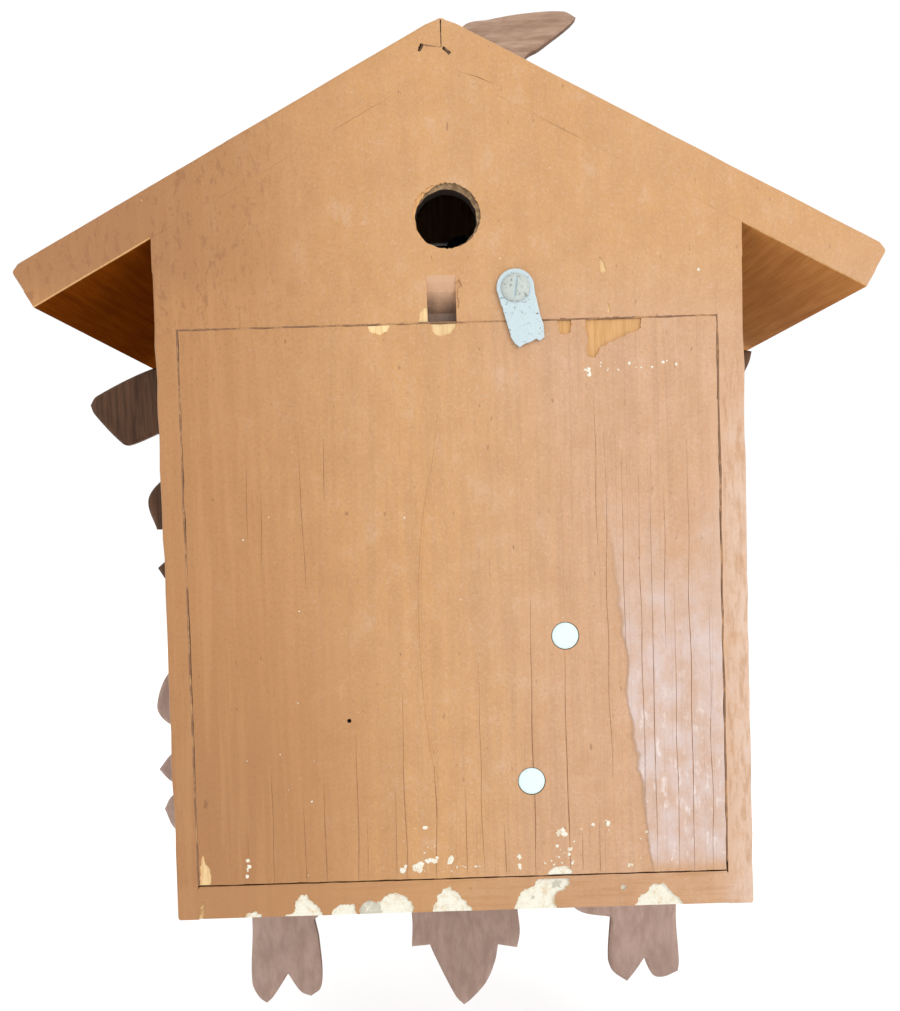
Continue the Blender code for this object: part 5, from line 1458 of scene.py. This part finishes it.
def bird_frame(ahead, aside, up):
    """World offset of a step given along the bird's own directions."""
    across = ahead * math.cos(BIRD_TURN) - aside * math.sin(BIRD_TURN)
    deep = ahead * math.sin(BIRD_TURN) + aside * math.cos(BIRD_TURN)
    return Vector((across * MM, -deep * MM, up * MM))


def build_bird():
    """The cuckoo: a fused body, head and tail, with wings, a beak, eyes and a perch pin."""
    perch_at = (span("bird_arm", "across")[0] + 2.4, BIRD_UP, span("bird_arm", "deep")[0] + 2.4)
    centre = place(*perch_at)
    head = centre + bird_frame(8.0, 0.0, 5.6)
    work = bmesh.new()
    ball(work, centre, (11.4, 5.6, 5.4))
    ball(work, head, (4.7, 4.4, 4.5))
    ball(work, centre + bird_frame(5.6, 0.0, 2.6), (5.6, 4.8, 4.6))
    ball(work, centre + bird_frame(-12.5, 0.0, 0.6), (8.4, 0.95, 3.0))
    made = to_object("cuckoo_body", work, ["bird", "breast"])
    change = made.modifiers.new("fuse", "REMESH")
    change.mode = "VOXEL"
    change.voxel_size = 0.32 * MM
    change = made.modifiers.new("ease", "SMOOTH")
    change.factor = 0.6
    change.iterations = 5
    bake_modifiers(made)
    for face in made.data.polygons:
        spot = face.center - centre
        ahead = (spot.x * math.cos(BIRD_TURN) - spot.y * math.sin(BIRD_TURN)) / MM
        face.material_index = int(face.normal.z < -0.15 and ahead > -7.0)
    settle(made, "bird_arm", "bird_paint", "cuckoo_bird", smooth=80.0)
    wings = [((-1.5, 4.4, 1.2), (8.2, 3.4, 1.5)), ((-5.5, 3.9, 1.4), (7.4, 2.2, 1.3))]
    for name, look, origin, segments, offsets in (
        ("wings", "bird", centre, 20, wings),
        ("beak", "beak", head, 16, [((5.4, 0.0, 0.1), (2.9, 0.7, 0.9))]),
        ("eyes", "eye", head, 12, [((2.2, 3.6, 1.0), (0.75, 0.75, 0.75))]),
    ):
        work = bmesh.new()
        for side in (1,) if name == "beak" else (-1, 1):
            for (ahead, aside, up), radii in offsets:
                ball(work, origin + bird_frame(ahead, side * aside, up), radii, segments)
        settle(to_object("cuckoo_" + name, work, [look]), "bird_arm", "bird_paint", smooth=80.0)
    profile = [(0.0, -8.4), (1.25, -8.4), (1.25, 0.0), (0.0, 0.0)]
    perch = lathe("cuckoo_perch", profile, perch_at, "beech", "up", 20)
    settle(perch, "bird_arm", "bird_paint")


# ---------------------------------------------------------------- bellows


def build_bellows():
    """Pleated cloth between each whistle's top board and its lid, hinged along the front edge."""
    for side, _ in SIDES:
        node = "bellows_" + side
        across, up, deep = (span(node, axis) for axis in ("across", "up", "deep"))
        work = bmesh.new()
        rings = []
        for level in range(PLEATS):
            inset = 0.25 if level % 2 == 0 else 2.3
            height = up[0] + (up[1] - up[0]) * level / (PLEATS - 1)
            low = (across[0] + inset, deep[0] + inset)
            high = (across[1] - inset, deep[1] - inset)
            run = fold_run(low, high, inset * 0.5 + 0.4)
            rings.append([work.verts.new(place(x, height, far)) for x, far in run])
        stack(work, rings)
        made = smoothed(to_object("bellows_cloth_" + side, work, ["cloth"]), 30.0)
        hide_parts(node)
        low, high = (place(sum(across) / 2, end, sum(deep) / 2) for end in up)
        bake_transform(made, "case", "bellows_lid_" + side, low, high)


def fold_run(low, high, corner):
    """A rectangle with cut corners."""
    points = []
    (left, near), (right, far) = low, high
    turns = [(left, near, 1, 1), (right, near, -1, 1), (right, far, -1, -1), (left, far, 1, -1)]
    for index, (x, y, dx, dy) in enumerate(turns):
        pair = [(x, y + dy * corner), (x + dx * corner, y)]
        points += pair if index % 2 == 0 else pair[::-1]
    return points


# ---------------------------------------------------------------- the front, the inside and the movement

# CAD pieces that only have their edges softened: (look, width of the soft edge, nodes).
REFINED = (
    ("beech", 0.20, ["bird_arm"]),
    ("beech", 0.30, ["whistle_left", "whistle_right"]),
    ("beech", 0.35, ["bellows_lid_left", "bellows_lid_right"]),
    ("iron", 0.60, ["gong_block"]),
    ("brass", 0.12, ["movement_back_plate", "movement_front_plate"]),
    ("steel", 0.12, ["plate_pillar_%d" % number for number in (1, 2, 3, 4)]),
    ("brass", 0.06, ["time_great_wheel"]),
    ("brass", 0.05, ["centre_wheel", "third_wheel", "escape_wheel"]),
    ("brass", 0.06, ["strike_great_wheel", "count_wheel"]),
    ("brass", 0.05, ["pin_wheel", "warning_wheel", "fly", "cannon_pinion", "minute_wheel", "hour_wheel"]),
    ("steel", 0.06, ["anchor", "gong_hammer"]),
)
# The round wires: (node, look).
WIRES = (
    ("gong_coil", "iron"),
    ("lift_wire_left", "steel"),
    ("lift_wire_right", "steel"),
    ("pendulum_leader", "steel"),
)
# A soft edge leaves its faces at 22.5 degrees, and the plates' broad faces have to stay flat beside it.
PLATE_SMOOTH = 20.0
PIECE_SMOOTH = 50.0
WIRE_SMOOTH = 60.0

build_carvings()
build_dial()
build_hands()
build_cuckoo_door()
build_bird()
build_bellows()
for look, width, nodes in REFINED:
    for node in nodes:
        refined(node, look, width, PLATE_SMOOTH if node.endswith("_plate") else PIECE_SMOOTH)
for node, look in WIRES:
    refined(node, look, 0.0, WIRE_SMOOTH, rounds=1)

# ---------------------------------------------------------------- stage, light and camera

CAMERA_AT = (0.0035, 0.275, -0.0679)
CAMERA_TURNS = (2.57, -0.27, -1.70)
CAMERA_LENS = 42.73
CAMERA_SHIFT = (0.0032, 0.0629)
ROOM_STRENGTH = 1.02
# Lamps: (name, place in metres, size in metres, watts).
LAMPS = (
    ("key", (-0.75, 1.10, 0.55), 0.7, 6.0),
    ("low_fill", (-0.40, 1.30, -0.15), 0.5, 1.5),
    ("front_key", (0.8, -1.2, 0.8), 0.8, 7.0),
)
LAMP_AIM = (0.0, 0.0, -0.06)


def build_stage():
    """A white matt floor a little below the clock."""
    work = bmesh.new()
    bmesh.ops.create_grid(work, x_segments=1, y_segments=1, size=6.0)
    floor = to_object("floor", work, [])
    floor.location.z = CAD_BOX[0][2] - 0.02
    ground = bpy.data.materials.new("pale_floor")
    ground.use_nodes = True
    inputs = ground.node_tree.nodes["Principled BSDF"].inputs
    inputs["Base Color"].default_value = (1.0, 1.0, 1.0, 1.0)
    inputs["Roughness"].default_value = 1.0
    inputs["Specular IOR Level"].default_value = 0.0
    floor.data.materials.append(ground)


def build_light():
    world = bpy.data.worlds.new("pale_room")
    bpy.context.scene.world = world
    world.use_nodes = True
    back = world.node_tree.nodes["Background"]
    back.inputs["Color"].default_value = (1.0, 1.0, 1.0, 1.0)
    back.inputs["Strength"].default_value = ROOM_STRENGTH
    for name, where, size, power in LAMPS:
        data = bpy.data.lights.new(name, "AREA")
        data.size = size
        data.energy = power
        lamp = bpy.data.objects.new(name, data)
        lamp.location = where
        aim = Vector(LAMP_AIM) - Vector(where)
        lamp.rotation_euler = aim.to_track_quat("-Z", "Y").to_euler()
        bpy.context.scene.collection.objects.link(lamp)


def build_camera():
    """The photograph's own view. Its camera was tipped a little and rolled."""
    data = bpy.data.cameras.new("camera")
    data.lens = CAMERA_LENS
    data.shift_x, data.shift_y = CAMERA_SHIFT
    data.clip_start = 0.01
    tilt, yaw, roll = (math.radians(angle) for angle in CAMERA_TURNS)
    turn = Matrix.Rotation(roll, 3, "Z") @ Matrix.Rotation(yaw, 3, "Y") @ Matrix.Rotation(tilt, 3, "X")
    right, down, ahead = (Vector((-row.x, -row.z, -row.y)) for row in turn)
    axes = Matrix((right, -down, -ahead)).transposed()
    camera = bpy.data.objects.new("camera", data)
    camera.matrix_world = Matrix.Translation(CAMERA_AT) @ axes.to_4x4()
    bpy.context.scene.collection.objects.link(camera)
    bpy.context.scene.camera = camera


build_stage()
build_light()
build_camera()
bpy.context.scene.view_settings.view_transform = "Standard"
